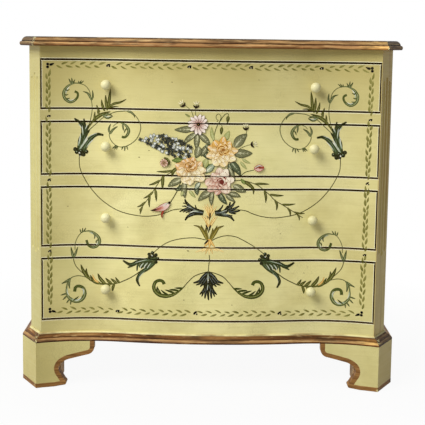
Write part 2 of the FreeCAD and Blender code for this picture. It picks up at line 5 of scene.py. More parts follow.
import bmesh
import bpy
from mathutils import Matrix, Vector


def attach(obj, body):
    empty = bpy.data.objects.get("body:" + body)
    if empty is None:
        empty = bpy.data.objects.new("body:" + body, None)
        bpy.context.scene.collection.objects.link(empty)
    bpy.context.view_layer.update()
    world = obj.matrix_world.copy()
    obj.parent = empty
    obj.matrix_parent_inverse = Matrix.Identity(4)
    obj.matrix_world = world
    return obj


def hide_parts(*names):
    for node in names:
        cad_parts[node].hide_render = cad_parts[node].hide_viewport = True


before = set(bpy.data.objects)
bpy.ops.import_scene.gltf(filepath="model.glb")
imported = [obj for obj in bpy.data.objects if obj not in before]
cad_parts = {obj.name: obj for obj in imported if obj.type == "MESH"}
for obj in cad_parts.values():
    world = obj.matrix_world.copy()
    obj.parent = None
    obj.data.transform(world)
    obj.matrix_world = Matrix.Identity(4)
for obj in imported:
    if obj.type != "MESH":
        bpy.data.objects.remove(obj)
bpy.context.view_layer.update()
random.seed(11)
print("chest loaded")

# Lines of the case in millimetres: x from the middle, z from the floor, and y from
# the line through the two front corners, which is where shiftY puts it.
case = {
    "shiftY": -213.01,
    "half": 447.0,
    "depth": 450.0,
    "arris": 412.8,
    "dip": 24.0,
    "centreSet": 1.1,
    "dipPlace": 279.05,
    "openingHalf": 411.6,
    "frontHalf": 409.8,
    "railLows": (134.0, 321.5, 498.9, 659.3, 809.7),
    "railHighs": (165.5, 350.9, 528.3, 688.7, 840.5),
    "gap": 2.0,
}


def placeFront(values):
    span = values["arris"] - values["dipPlace"]
    values["hollowRadius"] = (span ** 2 + values["dip"] ** 2) / (2 * values["dip"])
    values["hollowCentre"] = values["dip"] - values["hollowRadius"]
    drop = values["dip"] - values["centreSet"]
    centreSpan = (values["dipPlace"] ** 2 + drop ** 2) / (2 * drop)
    values["bowRadius"] = centreSpan - values["hollowRadius"]
    values["bowCentre"] = values["centreSet"] + values["bowRadius"]
    values["sinJoin"] = values["dipPlace"] / centreSpan


placeFront(case)


# y of the serpentine front at x, or of a face that stands the given way outside it.
def frontY(x, out=0.0):
    across = abs(x)
    bow = case["bowRadius"] + out
    if across < bow * case["sinJoin"]:
        return case["bowCentre"] - math.sqrt(bow ** 2 - x ** 2)
    hollow = case["hollowRadius"] - out
    return case["hollowCentre"] + math.sqrt(hollow ** 2 - (across - case["dipPlace"]) ** 2)


def metres(x, y, z):
    return Vector((x, y + case["shiftY"], z)) * 0.001


# Colours are given as they look, from 0 to 255.
def tone(red, green, blue):
    parts = [value / 255 for value in (red, green, blue)]
    return tuple(p / 12.92 if p <= 0.04045 else ((p + 0.055) / 1.055) ** 2.4 for p in parts)


def mixed(first, second, share):
    return tuple(a + (b - a) * share for a, b in zip(first, second))


def plug(tree, value, socket):
    if isinstance(value, bpy.types.NodeSocket):
        tree.links.new(value, socket)
    elif socket.type == "RGBA" and len(value) == 3:
        socket.default_value = (*value, 1.0)
    else:
        socket.default_value = value


def addNode(tree, kind, inputs=None, **settings):
    made = tree.nodes.new(kind)
    for name, value in settings.items():
        setattr(made, name, value)
    for name, value in (inputs or {}).items():
        plug(tree, value, made.inputs[name])
    return made


# A mix node takes its share at 0 and its two colours at 6 and 7, and gives a colour at 2.
def mixColour(tree, share, first, second, blend="MIX"):
    return addNode(tree, "ShaderNodeMix", {0: share, 6: first, 7: second}, data_type="RGBA",
                   blend_type=blend).outputs[2]


def calculate(tree, operation, *values):
    return addNode(tree, "ShaderNodeMath", dict(enumerate(values)), operation=operation).outputs[0]


def times(tree, *values):
    product = values[0]
    for value in values[1:]:
        product = calculate(tree, "MULTIPLY", product, value)
    return product


def ramp(tree, share, stops):
    made = addNode(tree, "ShaderNodeValToRGB", {"Fac": share})
    points = made.color_ramp.elements
    while len(points) < len(stops):
        points.new(0.5)
    for point, (place, colour) in zip(points, stops):
        point.position = place
        point.color = (*colour, 1.0)
    return made.outputs["Color"]


def spread(tree, value, low, high, start=0.0, end=1.0):
    return addNode(tree, "ShaderNodeMapRange", {"Value": value, "From Min": low, "From Max": high,
                                                "To Min": start, "To Max": end}).outputs["Result"]


def ownPlace(tree):
    return addNode(tree, "ShaderNodeTexCoord").outputs["Object"]


# The object's own coordinates, stretched by the three scales.
def stretched(tree, scales, shift):
    made = addNode(tree, "ShaderNodeMapping", {"Vector": ownPlace(tree), "Scale": scales, "Location": shift})
    return made.outputs["Vector"]


def grain(tree, scales, detail, roughness, seed):
    place = stretched(tree, scales, (seed, seed * 1.7, seed * 0.6))
    return addNode(tree, "ShaderNodeTexNoise", {"Vector": place, "Scale": 1.0, "Detail": detail,
                                                "Roughness": roughness}).outputs["Fac"]


# Where a point of the object lies along each axis, and how far from the middle.
def axesOf(tree):
    axes = addNode(tree, "ShaderNodeSeparateXYZ", {"Vector": ownPlace(tree)}).outputs
    return axes["X"], axes["Y"], axes["Z"], calculate(tree, "ABSOLUTE", axes["X"])


# Noises by name: their scales along x, y and z, their detail, roughness and seed, and
# the part of their range that counts, with the shares that its ends stand for.
noises = {
    "clouds": ((3.2, 3.2, 4.4), 5.0, 0.55, 0.0, (0.36, 0.66)),
    "greens": ((5.0, 5.0, 6.0), 3.0, 0.55, 4.1, (0.48, 0.7, 0.0, 0.6)),
    "uneven": ((4.0, 4.0, 5.0), 4.0, 0.6, 12.0, (0.3, 0.7, 0.72, 1.2)),
    "flutes": ((110.0, 110.0, 3.0), 4.0, 0.6, 17.0, (0.5, 0.62, 0.0, 0.48)),
    "glaze": ((7.0, 7.0, 9.0), 7.0, 0.62, 9.3, (0.48, 0.8, 0.0, 0.6)),
    "crackled": ((12.0, 12.0, 12.0), 2.0, 0.55, 6.6, (0.48, 0.66, 0.0, 0.22)),
    "gold": ((6.0, 6.0, 240.0), 5.0, 0.6, 1.4, (0.34, 0.66)),
    "paintedHighlight": ((18.0, 18.0, 90.0), 3.0, 0.6, 9.9, (0.36, 0.6)),
    "dark": ((16.0, 16.0, 150.0), 4.0, 0.6, 7.7, (0.47, 0.64, 0.0, 0.66)),
    "worn": ((34.0, 34.0, 300.0), 3.0, 0.5, 3.1, (0.58, 0.7, 0.0, 0.4)),
    "rubbed": ((150.0, 150.0, 160.0), 3.0, 0.6, 15.0, (0.54, 0.62, 0.0, 0.75)),
    "lip": ((12.0, 12.0, 12.0), 4.0, 0.6, 21.0, (0.34, 0.56, 0.25, 1.0)),
    "thin": ((260.0, 260.0, 260.0), 4.0, 0.65, 5.2, (0.55, 0.85, 0.0, 0.26)),
}


def noise(tree, name):
    *shape, reach = noises[name]
    return spread(tree, grain(tree, *shape), *reach)


def startMaterial(name, roughness=0.5, coat=0.0, specular=0.22):
    material = bpy.data.materials.new(name)
    material.use_nodes = True
    shader = material.node_tree.nodes["Principled BSDF"]
    for socket, value in (("Roughness", roughness), ("Specular IOR Level", specular), ("Coat Weight", coat),
                          ("Coat Roughness", 0.3)):
        shader.inputs[socket].default_value = value
    return material, material.node_tree, shader


def bump(tree, shader, height, distance, strength):
    made = addNode(tree, "ShaderNodeBump", {"Height": height, "Distance": distance, "Strength": strength})
    plug(tree, made.outputs["Normal"], shader.inputs["Normal"])


creamPaint = {
    "base": tone(230, 220, 152),
    "light": tone(238, 230, 168),
    "glaze": tone(180, 166, 102),
    "green": tone(206, 202, 136),
    "brown": tone(180, 148, 66),
    "shade": tone(184, 180, 122),
    "rust": tone(150, 104, 52),
    "speck": tone(98, 78, 42),
    "roughness": 0.5,
    "coat": 0.03,
    # the ground is darker toward the two ends and on the feet; under the top it carries painted shade
    # of the top's overhang, less of it on the posts
    "leftEnd": 0.58, "rightEnd": 0.38, "high": 0.86, "low": 0.3, "shadeUnderTopOnPosts": 0.25,
    # painted shade on the cants, and the brown of the flutes from the left post to the right one,
    # more of it on the shaded right post
    "rightCantShade": 0.5, "leftCant": 0.42, "flutes": (0.12, 1.0),
    "streaks": ((9.0, 9.0, 230.0), 4.0, 0.6, 2.2), "crackle": (210.0, 210.0, 150.0),
}
knobPaint = {
    **creamPaint,
    "base": tone(218, 212, 160),
    "light": tone(228, 223, 176),
    "glaze": tone(196, 180, 120),
    "green": tone(212, 208, 152),
    "speck": tone(150, 122, 70),
    "roughness": 0.34,
    # the knobs of the upper drawers carry a little of the painted shade under the top
    "leftEnd": 0.0, "rightEnd": 0.0, "high": 0.2, "low": 0.0, "rightCantShade": 0.0, "leftCant": 0.0,
}
# Where the tints of the case begin and end, in metres along an axis.
edges = {
    "behindCants": (-0.124, -0.13), "aboveFeet": (0.128, 0.134), "onFeet": (0.134, 0.128),
    "underTop": (0.8406, 0.8402), "cant": (0.409, 0.413), "footCant": (0.4222, 0.4236),
    "leftEnd": (-0.2, -0.4), "rightEnd": (0.2, 0.41), "high": (0.6, 0.79), "low": (0.14, 0.11),
}


# Old painted ground: brushed streaks, a cloudy brown and green glaze, a fine crackle, and painted
# shade under the top and on the cants.
def makeCreamPaint(name, values):
    material, tree, shader = startMaterial(name, values["roughness"], values["coat"])
    colour = mixColour(tree, noise(tree, "clouds"), values["base"], values["light"])
    colour = mixColour(tree, noise(tree, "greens"), colour, values["green"])
    x, y, z, across = axesOf(tree)
    uneven = noise(tree, "uneven")
    # painted shade on the cants of the posts and of the right foot: the left post's cant darker,
    # the right cants darker and browner
    onCants = spread(tree, y, *edges["behindCants"])
    onPosts = times(tree, times(tree, spread(tree, z, *edges["aboveFeet"]), onCants),
                    times(tree, spread(tree, z, *edges["underTop"]), spread(tree, across, *edges["cant"])))
    onFoot = times(tree, spread(tree, z, *edges["onFeet"]), onCants)
    # darker toward the ends and the feet, and painted shade under the top, less of it on the posts
    for axis, share in ((x, "leftEnd"), (x, "rightEnd"), (z, "high"), (z, "low")):
        laid = times(tree, spread(tree, axis, *edges[share], 0.0, values[share]), uneven)
        if share == "high":
            laid = times(tree, laid, spread(tree, onPosts, 0.0, 1.0, 1.0, values["shadeUnderTopOnPosts"]))
        colour = mixColour(tree, laid, colour, values["glaze"])
    cant, footCant = edges["cant"], edges["footCant"]
    for start, end, share, tint, where in ((*cant, "rightCantShade", "brown", onPosts),
                                           (-cant[0], -cant[1], "leftCant", "shade", onPosts),
                                           (*footCant, "rightCantShade", "brown", onFoot)):
        laid = times(tree, spread(tree, x, start, end, 0.0, values[share]), where)
        colour = mixColour(tree, laid, colour, values[tint])
    # brown glaze caught along the flutes, with more on the right post as painted shade
    where = times(tree, onPosts, spread(tree, x, -cant[0], cant[0], *values["flutes"]))
    colour = mixColour(tree, times(tree, noise(tree, "flutes"), where), colour, values["rust"])
    colour = mixColour(tree, noise(tree, "glaze"), colour, values["glaze"])
    streaks = grain(tree, *values["streaks"])
    colour = mixColour(tree, spread(tree, streaks, 0.5, 0.74, 0.0, 0.22), colour, values["glaze"])
    place = stretched(tree, values["crackle"], (3.0, 1.2, 3.9))
    cracks = addNode(tree, "ShaderNodeTexVoronoi", {"Vector": place, "Scale": 1.0}, feature="DISTANCE_TO_EDGE")
    fine = spread(tree, cracks.outputs["Distance"], 0.0, 0.07, 1.0, 0.0)
    colour = mixColour(tree, times(tree, fine, noise(tree, "crackled")), colour, values["speck"])
    plug(tree, colour, shader.inputs["Base Color"])
    dull = spread(tree, streaks, 0.3, 0.7, values["roughness"] - 0.07, values["roughness"] + 0.1)
    plug(tree, dull, shader.inputs["Roughness"])
    bump(tree, shader, mixColour(tree, 0.3, streaks, fine), 0.00012, 0.5)
    return material


gilding = {
    "gold": tone(176, 136, 88), "pale": tone(206, 176, 124), "brown": tone(112, 78, 50), "dark": tone(46, 32, 22),
    "roughness": 0.44,
    # a painted highlight on the gold toward the right-hand end, its colour and its share
    "paintedHighlight": tone(238, 194, 116), "paintedHighlightShare": 0.85,
}
# The gold has gone from the canted corners, which are grey-brown and streaked.
wornGilding = {
    "gold": tone(112, 90, 62), "pale": tone(176, 156, 112), "brown": tone(78, 60, 40), "dark": tone(40, 30, 22),
    "roughness": 0.5, "paintedHighlight": tone(140, 110, 70), "paintedHighlightShare": 0.2,
}
bracketToning = {
    "gold": tone(150, 108, 60), "pale": tone(178, 134, 84), "brown": tone(118, 82, 46), "dark": tone(88, 58, 32),
    "roughness": 0.5, "paintedHighlight": tone(162, 116, 64), "paintedHighlightShare": 0.3,
}
# The edges of the drawer fronts are painted dark: the dark line carried round them, and painted shade in the gaps.
lineAndGapShade = {
    "gold": tone(56, 40, 12), "pale": tone(90, 70, 34), "brown": tone(44, 30, 6), "dark": tone(30, 18, 2),
    "roughness": 0.6, "paintedHighlight": tone(54, 44, 24), "paintedHighlightShare": 0.2,
}
# The profiles of the top's edge and of the base moulding: their heights, the painted light and shade
# across each profile from the lower edge up, darker in its hollows and lighter on its rounds, and how
# strong the pale line along the lip at the upper edge is.
topProfile = {
    "low": 840.5, "high": 862.5, "lip": 0.0,
    "bands": ((0.0, tone(130, 96, 78)), (0.1, tone(255, 232, 212)), (0.3, (1.36, 1.36, 1.36)),
              (0.42, (1.2, 1.1, 1.0)), (0.47, tone(104, 82, 70)), (0.54, tone(140, 126, 116)),
              (0.62, (1.05, 1.05, 1.05)), (0.84, (1.0, 1.0, 1.0)), (0.93, tone(130, 118, 108)),
              (1.0, tone(84, 72, 62))),
}
baseProfile = {
    "low": 113.5, "high": 134.0, "lip": 0.85,
    "bands": ((0.0, tone(96, 66, 52)), (0.14, tone(128, 94, 74)), (0.22, (1.0, 1.0, 1.0)), (0.4, (1.0, 1.0, 1.0)),
              (0.5, tone(140, 114, 96)), (0.66, tone(210, 194, 176)), (0.86, tone(172, 154, 134)),
              (0.94, tone(116, 94, 78)), (1.0, tone(240, 226, 200))),
}
# Places on the mouldings, in metres: the end with the painted highlight, the two sides of the mitres, and
# how far under its upper edge the pale lip begins.
mouldingPlaces = {
    "paintedHighlight": (0.345, 0.41), "mitreFrom": (0.417, 0.421), "mitreTo": (0.43, 0.426), "lip": (0.0036, 0.0026),
}


# Gold and brown toning in long streaks, painted shade in the hollows of the profile and painted highlights
# on its rounds, a painted highlight toward the right-hand end, worn pale spots, cream showing where the
# mitres are rubbed, and a pale line along the lip.
def makeGilding(name, values, profile=None):
    material, tree, shader = startMaterial(name, values["roughness"], specular=0.06)
    streaks = noise(tree, "gold")
    colour = ramp(tree, streaks, ((0.0, values["brown"]), (0.42, mixed(values["brown"], values["gold"], 0.6)),
                                  (0.7, values["gold"]), (1.0, values["pale"])))
    x, y, z, across = axesOf(tree)
    # a painted highlight toward the right-hand end
    paintedHighlight = spread(tree, x, *mouldingPlaces["paintedHighlight"], 0.0, values["paintedHighlightShare"])
    colour = mixColour(tree, times(tree, paintedHighlight, noise(tree, "paintedHighlight")), colour, values["paintedHighlight"])
    if profile:
        low, high = profile["low"] * 0.001, profile["high"] * 0.001
        # painted light and shade across the profile, from its lower edge up
        shade = ramp(tree, spread(tree, z, low, high), profile["bands"])
        colour = mixColour(tree, 1.0, colour, shade, "MULTIPLY")
    colour = mixColour(tree, noise(tree, "dark"), colour, values["dark"])
    colour = mixColour(tree, noise(tree, "worn"), colour, values["pale"])
    mitre = times(tree, *(spread(tree, across, *mouldingPlaces[key]) for key in ("mitreFrom", "mitreTo")))
    colour = mixColour(tree, times(tree, mitre, noise(tree, "rubbed")), colour, creamPaint["light"])
    if profile and profile["lip"]:
        start, end = mouldingPlaces["lip"]
        edge = spread(tree, z, high - start, high - end, 0.0, profile["lip"])
        colour = mixColour(tree, times(tree, edge, noise(tree, "lip")), colour, creamPaint["light"])
    plug(tree, colour, shader.inputs["Base Color"])
    bump(tree, shader, streaks, 0.00025, 0.6)
    return material


# Scales of the grain, along x, y and z, for boards that lie across, deep or upright.
bareWood = {
    "light": tone(214, 178, 126), "dark": tone(164, 122, 76), "pore": tone(112, 78, 46), "roughness": 0.62,
    "across": (2.2, 34.0, 46.0), "deep": (34.0, 2.2, 46.0), "up": (38.0, 38.0, 2.0),
}


# Planed pine or poplar, its grain along the board.
def makeBareWood(name, values, scales):
    material, tree, shader = startMaterial(name, values["roughness"])
    rings = grain(tree, scales, 5.0, 0.6, 2.5)
    colour = ramp(tree, rings, ((0.25, values["dark"]), (0.5, values["light"]),
                                (0.62, mixed(values["light"], values["dark"], 0.5)), (0.8, values["light"])))
    pores = spread(tree, grain(tree, tuple(4 * scale for scale in scales), 3.0, 0.7, 8.0), 0.6, 0.7, 0.0, 0.5)
    colour = mixColour(tree, pores, colour, values["pore"])
    plug(tree, colour, shader.inputs["Base Color"])
    bump(tree, shader, rings, 0.0003, 0.4)
    return material


creamGround = makeCreamPaint("creamGround", creamPaint)
knobGround = makeCreamPaint("knobGround", knobPaint)
topGilding = makeGilding("topGilding", gilding, topProfile)
topCornerGilding = makeGilding("topCornerGilding", wornGilding, topProfile)
baseGilding = makeGilding("baseGilding", gilding, baseProfile)
baseCornerGilding = makeGilding("baseCornerGilding", wornGilding, {**baseProfile, "lip": 0.6})
bracketGilding = makeGilding("bracketGilding", bracketToning)
lineAndGapShadePaint = makeGilding("lineAndGapShadePaint", lineAndGapShade)
woodAcross = makeBareWood("woodAcross", bareWood, bareWood["across"])
woodDeep = makeBareWood("woodDeep", bareWood, bareWood["deep"])
woodUp = makeBareWood("woodUp", bareWood, bareWood["up"])
print("finishes made")

# The CAD nodes keep their meshes and get these finishes.
nodeFinish = {
    "bottom_board": woodAcross, "back_panel": woodUp, "drawer_stops": woodAcross,
    "top_kickers": woodDeep, "foot_glue_blocks": woodUp,
}


def finishFor(name):
    if name in nodeFinish:
        return nodeFinish[name]
    if name.startswith("base_moulding"):
        return baseCornerGilding if name.endswith("cant_right") else baseGilding
    if name.startswith("drawer_") and name[7].isdigit():
        return woodAcross if name.endswith(("_back", "_bottom")) else woodDeep
    return creamGround


# Which of its finishes a face of a node gets, by where it looks and lies. A face looks
# along an axis when that part of its normal is above "along"; places are in metres.
faceRules = {
    "along": 0.9, "back": 0.5, "flat": 0.999, "sawn": 0.05, "topField": 0.8624, "wornX": 0.422, "wornY": -0.13,
    "postInside": 0.4117, "postBehind": -0.19, "bracketMiddle": 0.02,
}


def looksAcross(normal, axes):
    return any(abs(getattr(normal, axis)) > faceRules["along"] for axis in axes)


# The top has cream, gold, bare wood and worn gold.
def topFace(normal, centre):
    if normal.z < -faceRules["along"] or normal.y > faceRules["along"]:
        return 2
    if abs(centre.x) > faceRules["wornX"] and centre.y < faceRules["wornY"]:
        return 3
    return 0 if normal.z > faceRules["flat"] and centre.z > faceRules["topField"] else 1


def railFace(normal, centre):
    return 1 if normal.y > faceRules["back"] or looksAcross(normal, "xz") else 0


# The edges of a drawer front carry the dark line and the painted shade of the gaps; its back is bare.
def frontFace(normal, centre):
    return 2 if looksAcross(normal, "xz") else railFace(normal, centre)


def postFace(normal, centre):
    inside = abs(centre.x) < faceRules["postInside"] and centre.y > faceRules["postBehind"]
    return 1 if normal.y > faceRules["along"] or inside else 0


def panelFace(normal, centre):
    return 1 if normal.x * centre.x < 0 or normal.y > faceRules["along"] or looksAcross(normal, "z") else 0


# Sawn edges of a bracket are toned brown, its back is bare.
def bracketFace(normal, centre):
    if abs(normal.z) > faceRules["sawn"]:
        return 1
    return 2 if normal.x * centre.x + normal.y * (centre.y - faceRules["bracketMiddle"]) < 0 else 0


def finishesFor(name):
    if name == "top_board":
        return (creamGround, topGilding, woodAcross, topCornerGilding), topFace
    if name.startswith("corner_post"):
        return (creamGround, woodUp), postFace
    if name.startswith("side_panel"):
        return (creamGround, woodUp), panelFace
    if "foot_face" in name or "foot_side" in name or "foot_rear" in name:
        return (creamGround, bracketGilding, woodAcross), bracketFace
    if name.startswith("drawer_") and name.endswith("_front"):
        return (creamGround, woodAcross, lineAndGapShadePaint), frontFace
    if name.endswith("_rail") or "drawer_rail" in name:
        return (creamGround, woodAcross), railFace
    return (finishFor(name),), None


for name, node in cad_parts.items():
    finishes, choose = finishesFor(name)
    node.data.materials.clear()
    for finish in finishes:
        node.data.materials.append(finish)
    if choose:
        for polygon in node.data.polygons:
            polygon.material_index = choose(polygon.normal, polygon.center)
print("case finished")

knobs = {
    "places": {1: 748.2, 2: 598.3, 3: 422.4, 4: 243.5}, "x": 253.96, "reach": 17.5, "sides": 40, "rings": 14,
    # distance in front of the seat and radius, from the seat to the neck
    "foot": ((0.0, 8.0), (1.2, 8.2), (2.2, 7.4), (3.0, 5.9), (4.4, 5.1)), "ball": 12.5, "neck": 5.0,
}


def turnedKnob(mesh, x, z):
    seat, sides = frontY(x), knobs["sides"]
    profile = list(knobs["foot"])
    start = math.asin(knobs["neck"] / knobs["ball"])
    for step in range(knobs["rings"] + 1):
        turn = start + (math.pi - start) * step / knobs["rings"]
        profile.append((knobs["reach"] - knobs["ball"] * math.cos(turn), knobs["ball"] * math.sin(turn)))
    turns = [2 * math.pi * k / sides for k in range(sides)]
    rings = []
    for reach, radius in profile[:-1]:
        rings.append([mesh.verts.new(metres(x + radius * math.cos(t), seat - reach, z + radius * math.sin(t)))
                      for t in turns])
    tip = mesh.verts.new(metres(x, seat - profile[-1][0], z))
    for inner, outer in zip(rings, rings[1:]):
        for k in range(sides):
            after = (k + 1) % sides
            mesh.faces.new((inner[k], inner[after], outer[after], outer[k]))
    for k in range(sides):
        mesh.faces.new((rings[-1][k], rings[-1][(k + 1) % sides], tip))
    mesh.faces.new(rings[0][::-1])


def placePiece(name, data, material):
    data.materials.append(material)
    piece = bpy.data.objects.new(name, data)
    bpy.context.scene.collection.objects.link(piece)
    return piece


def addPiece(name, mesh, material, body, smooth=True):
    data = bpy.data.meshes.new(name)
    bmesh.ops.recalc_face_normals(mesh, faces=mesh.faces)
    mesh.to_mesh(data)
    mesh.free()
    data.polygons.foreach_set("use_smooth", [smooth] * len(data.polygons))
    piece = placePiece(name, data, material)
    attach(piece, body)
    return piece


for number, height in knobs["places"].items():
    mesh = bmesh.new()
    for side in (-1, 1):
        turnedKnob(mesh, side * knobs["x"], height)
    piece = addPiece(f"turned_knobs_{number}", mesh, knobGround, f"drawer_{number}")
    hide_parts(f"drawer_{number}_knobs")
print("knobs turned")

# Painting on the fronts. Shapes are drawn flat, in x and z, cut where a drawer or a
# rail ends, and laid on the serpentine surface a little above the ground.
panels = [("case", low, high, case["openingHalf"]) for low, high in zip(case["railLows"], case["railHighs"])]
for number in (1, 2, 3, 4):
    low = case["railHighs"][4 - number] + case["gap"]
    high = case["railLows"][5 - number] - case["gap"]
    panels.append((f"drawer_{number}", low, high, case["frontHalf"]))
painted = {body: ([], [], []) for body, low, high, half in panels}


def cutAt(corners, axis, limit, keepBelow):
    kept = []
    for index, corner in enumerate(corners):
        before = corners[index - 1]
        inside = corner[axis] <= limit if keepBelow else corner[axis] >= limit
        wasInside = before[axis] <= limit if keepBelow else before[axis] >= limit
        if inside != wasInside:
            share = (limit - before[axis]) / (corner[axis] - before[axis])
            kept.append(tuple(a + (b - a) * share for a, b in zip(before, corner)))
        if inside:
            kept.append(corner)
    return kept


# corners are (x, z, red, green, blue)
def paintCell(corners, lift):
    for body, low, high, half in panels:
        part = corners
        for axis, limit, keepBelow in ((1, low, False), (1, high, True), (0, -half, False), (0, half, True)):
            part = cutAt(part, axis, limit, keepBelow) if part else part
        if len(part) < 3:
            continue
        places, faces, colours = painted[body]
        faces.append(tuple(range(len(places), len(places) + len(part))))
        for x, z, *colour in part:
            places.append(metres(x, frontY(x) - lift, z))
            colours.append(colour)


lineSpacing = 2.5  # millimetres between the points of a smooth line


# Points along a smooth line through the given ones.
def smoothLine(points, spacing=lineSpacing):
    ends = [points[0]] + list(points) + [points[-1]]
    line = []
    for before, start, end, after in zip(ends, ends[1:], ends[2:], ends[3:]):
        steps = max(2, int(math.dist(start, end) / spacing))
        for step in range(steps):
            t = step / steps
            line.append(tuple(0.5 * (2 * b + (c - a) * t + (2 * a - 5 * b + 4 * c - d) * t * t
                                     + (3 * b - a - 3 * c + d) * t ** 3)
                              for a, b, c, d in zip(before, start, end, after)))
    line.append(tuple(points[-1]))
    return line


def profileAt(values, share):
    place = share * (len(values) - 1)
    index = min(int(place), len(values) - 2)
    return values[index] + (values[index + 1] - values[index]) * (place - index)


def scaled(shape, half, more=0.0):
    return [half * part + more for part in shape]


# Each stroke lies a hair above the one before it. A motif starts again at the bottom.
# A cell is narrow enough to follow the hollows of the front, and no half width is
# under the thinnest.
layer = {"lift": 0.16, "bottom": 0.16, "step": 0.0025, "cell": 3.2, "thinnest": 0.02}


def nextLift():
    layer["lift"] += layer["step"]
    return layer["lift"]


# A brush stroke along a line: half widths from start to end, and its colour at the
# start and at the end.
def stroke(line, widths, start, end=None, lift=None):
    lift = nextLift() if lift is None else lift
    strips = max(1, math.ceil(2 * max(widths) / layer["cell"]))
    rows = []
    for index, (x, z) in enumerate(line):
        share = index / (len(line) - 1)
        x0, z0 = line[max(index - 1, 0)]
        x1, z1 = line[min(index + 1, len(line) - 1)]
        length = math.hypot(x1 - x0, z1 - z0) or 1.0
        width = max(profileAt(widths, share), layer["thinnest"])
        acrossX, acrossZ = -(z1 - z0) / length * width, (x1 - x0) / length * width
        colour = mixed(start, end or start, share)
        rows.append([(x + acrossX * (1 - 2 * k / strips), z + acrossZ * (1 - 2 * k / strips), *colour)
                     for k in range(strips + 1)])
    for first, second in zip(rows, rows[1:]):
        for k in range(strips):
            paintCell([first[k], second[k], second[k + 1], first[k + 1]], lift)


def lengthAndHeading(x0, z0, x1, z1):
    return math.hypot(x1 - x0, z1 - z0), math.degrees(math.atan2(z1 - z0, x1 - x0))


# The point that lies the given reach away from x and z, with the heading in degrees.
def pointAt(x, z, heading, reach):
    away = math.radians(heading)
    return x + reach * math.cos(away), z + reach * math.sin(away)


def bentLine(x, z, heading, length, bend, steps=6):
    line = [(x, z)]
    for step in range(steps):
        turn = math.radians(heading + bend * ((step + 0.5) / steps))
        x += math.cos(turn) * length / steps
        z += math.sin(turn) * length / steps
        line.append((x, z))
    return line


paints = {
    "olive": tone(98, 98, 42), "oliveDark": tone(62, 60, 20), "oliveLight": tone(148, 148, 88),
    "moss": tone(74, 82, 34), "sage": tone(112, 120, 74), "sageDark": tone(60, 66, 32),
    "sageLight": tone(176, 180, 132), "teal": tone(70, 82, 48), "tealDark": tone(42, 42, 18),
    "tealLight": tone(142, 158, 124), "tealMid": tone(100, 120, 88),
    "night": tone(50, 51, 33), "nightDark": tone(28, 26, 8), "nightLight": tone(116, 124, 124),
    "fern": tone(76, 80, 28), "fernDark": tone(30, 34, 6), "tendril": tone(78, 74, 36), "leaf": tone(140, 132, 70),
    "white": tone(240, 240, 226), "cream": tone(250, 240, 196), "stem": tone(88, 90, 50),
    "gold": tone(230, 188, 104), "goldDark": tone(176, 128, 56), "goldLight": tone(248, 226, 156),
    "cup": tone(142, 128, 52), "cupDark": tone(88, 78, 30), "cupLight": tone(186, 168, 88),
    "amber": tone(232, 180, 98), "butter": tone(250, 234, 170),
    "red": tone(176, 70, 52), "rust": tone(120, 58, 34), "soot": tone(34, 22, 14), "black": tone(20, 16, 14),
    # the pale edge paint is partly a painted highlight along the rounded edges of drawers and rails
    "line": tone(46, 28, 0), "edge": tone(246, 240, 200), "shell": tone(248, 238, 218),
    "slate": tone(112, 122, 122),
}

# Strokes by kind: outline, colour at the root and at the tip, streak, and the half
# widths from root to tip as parts of the full width.
blade = (0.3, 0.86, 1.0, 0.86, 0.5, 0.06)
club = (0.16, 0.4, 0.72, 1.0, 1.0, 0.86, 0.74, 0.8)
thread = (1.0, 1.0, 0.9)
lobe = (0.9, 1.0, 0.96, 0.8, 0.62, 0.3)
kinds = {
    "vine": (None, "stem", "stem", None, thread),
    "tendril": (None, "tendril", "tendril", None, thread),
    "teal": ("tealDark", "teal", "tealDark", "tealMid", lobe),
    "body": ("tealDark", "tealDark", "teal", None, lobe),
    "sage": ("sageDark", "sage", "sageDark", "sageLight", blade),
    "curl": ("sageDark", "sage", "moss", "sageLight", club),
    "fern": ("fernDark", "fern", "moss", "oliveLight", club),
    "tooth": (None, "moss", "fernDark", None, blade),
    "olive": ("oliveDark", "olive", "oliveDark", "oliveLight", blade),
    "night": ("nightDark", "night", "nightDark", "nightLight", lobe),
    "inky": ("nightDark", "nightDark", "night", None, lobe),
    "gold": ("goldDark", "gold", "goldLight", "butter", blade),
    "wheat": ("gold", "goldLight", "butter", None, blade),
    "cup": ("cupDark", "cup", "cupDark", "cupLight", blade),
    "glow": ("goldDark", "amber", "gold", "goldLight", blade),
    "rust": ("rust", "red", "rust", None, blade),
    "soot": (None, "soot", "black", None, blade),
    "glint": (None, "tealLight", "white", None, blade),
    "faint": ("oliveLight", "oliveLight", "sage", None, blade),
}

# How much wider the outline is on each side, by how much it narrows the stroke on it
# and the share that stays at least, and the least width and the share of a streak.
outlining = {"wider": 0.25, "narrower": 1.3, "keeps": 0.6, "streakFrom": 2.2, "streak": 0.085}


def brush(kind, width, points, side=1):
    edge, root, tip, streak, shape = kinds[kind]
    line = smoothLine([(x * side, z) for x, z in points])
    if edge:
        stroke(line, scaled(shape, width / 2, outlining["wider"]), paints[edge])
        width = max(width - outlining["narrower"], width * outlining["keeps"])
    stroke(line, scaled(shape, width / 2), paints[root], paints[tip])
    if streak and width > outlining["streakFrom"]:
        inner = line[len(line) // 8:len(line) * 4 // 5]
        if len(inner) > 2:
            stroke(inner, scaled(shape, width * outlining["streak"]), paints[streak])


# A table of kinds, each with its strokes: the width of the stroke, x and z of its
# first point, and the steps in x and z from each point to the next.
def brushAll(table, side=1):
    for kind, *strokes in table:
        for width, *steps in strokes:
            brush(kind, width, list(zip(accumulate(steps[::2]), accumulate(steps[1::2]))), side)


def paintMotif(table, side=1):
    layer["lift"] = layer["bottom"]
    brushAll(table, side)


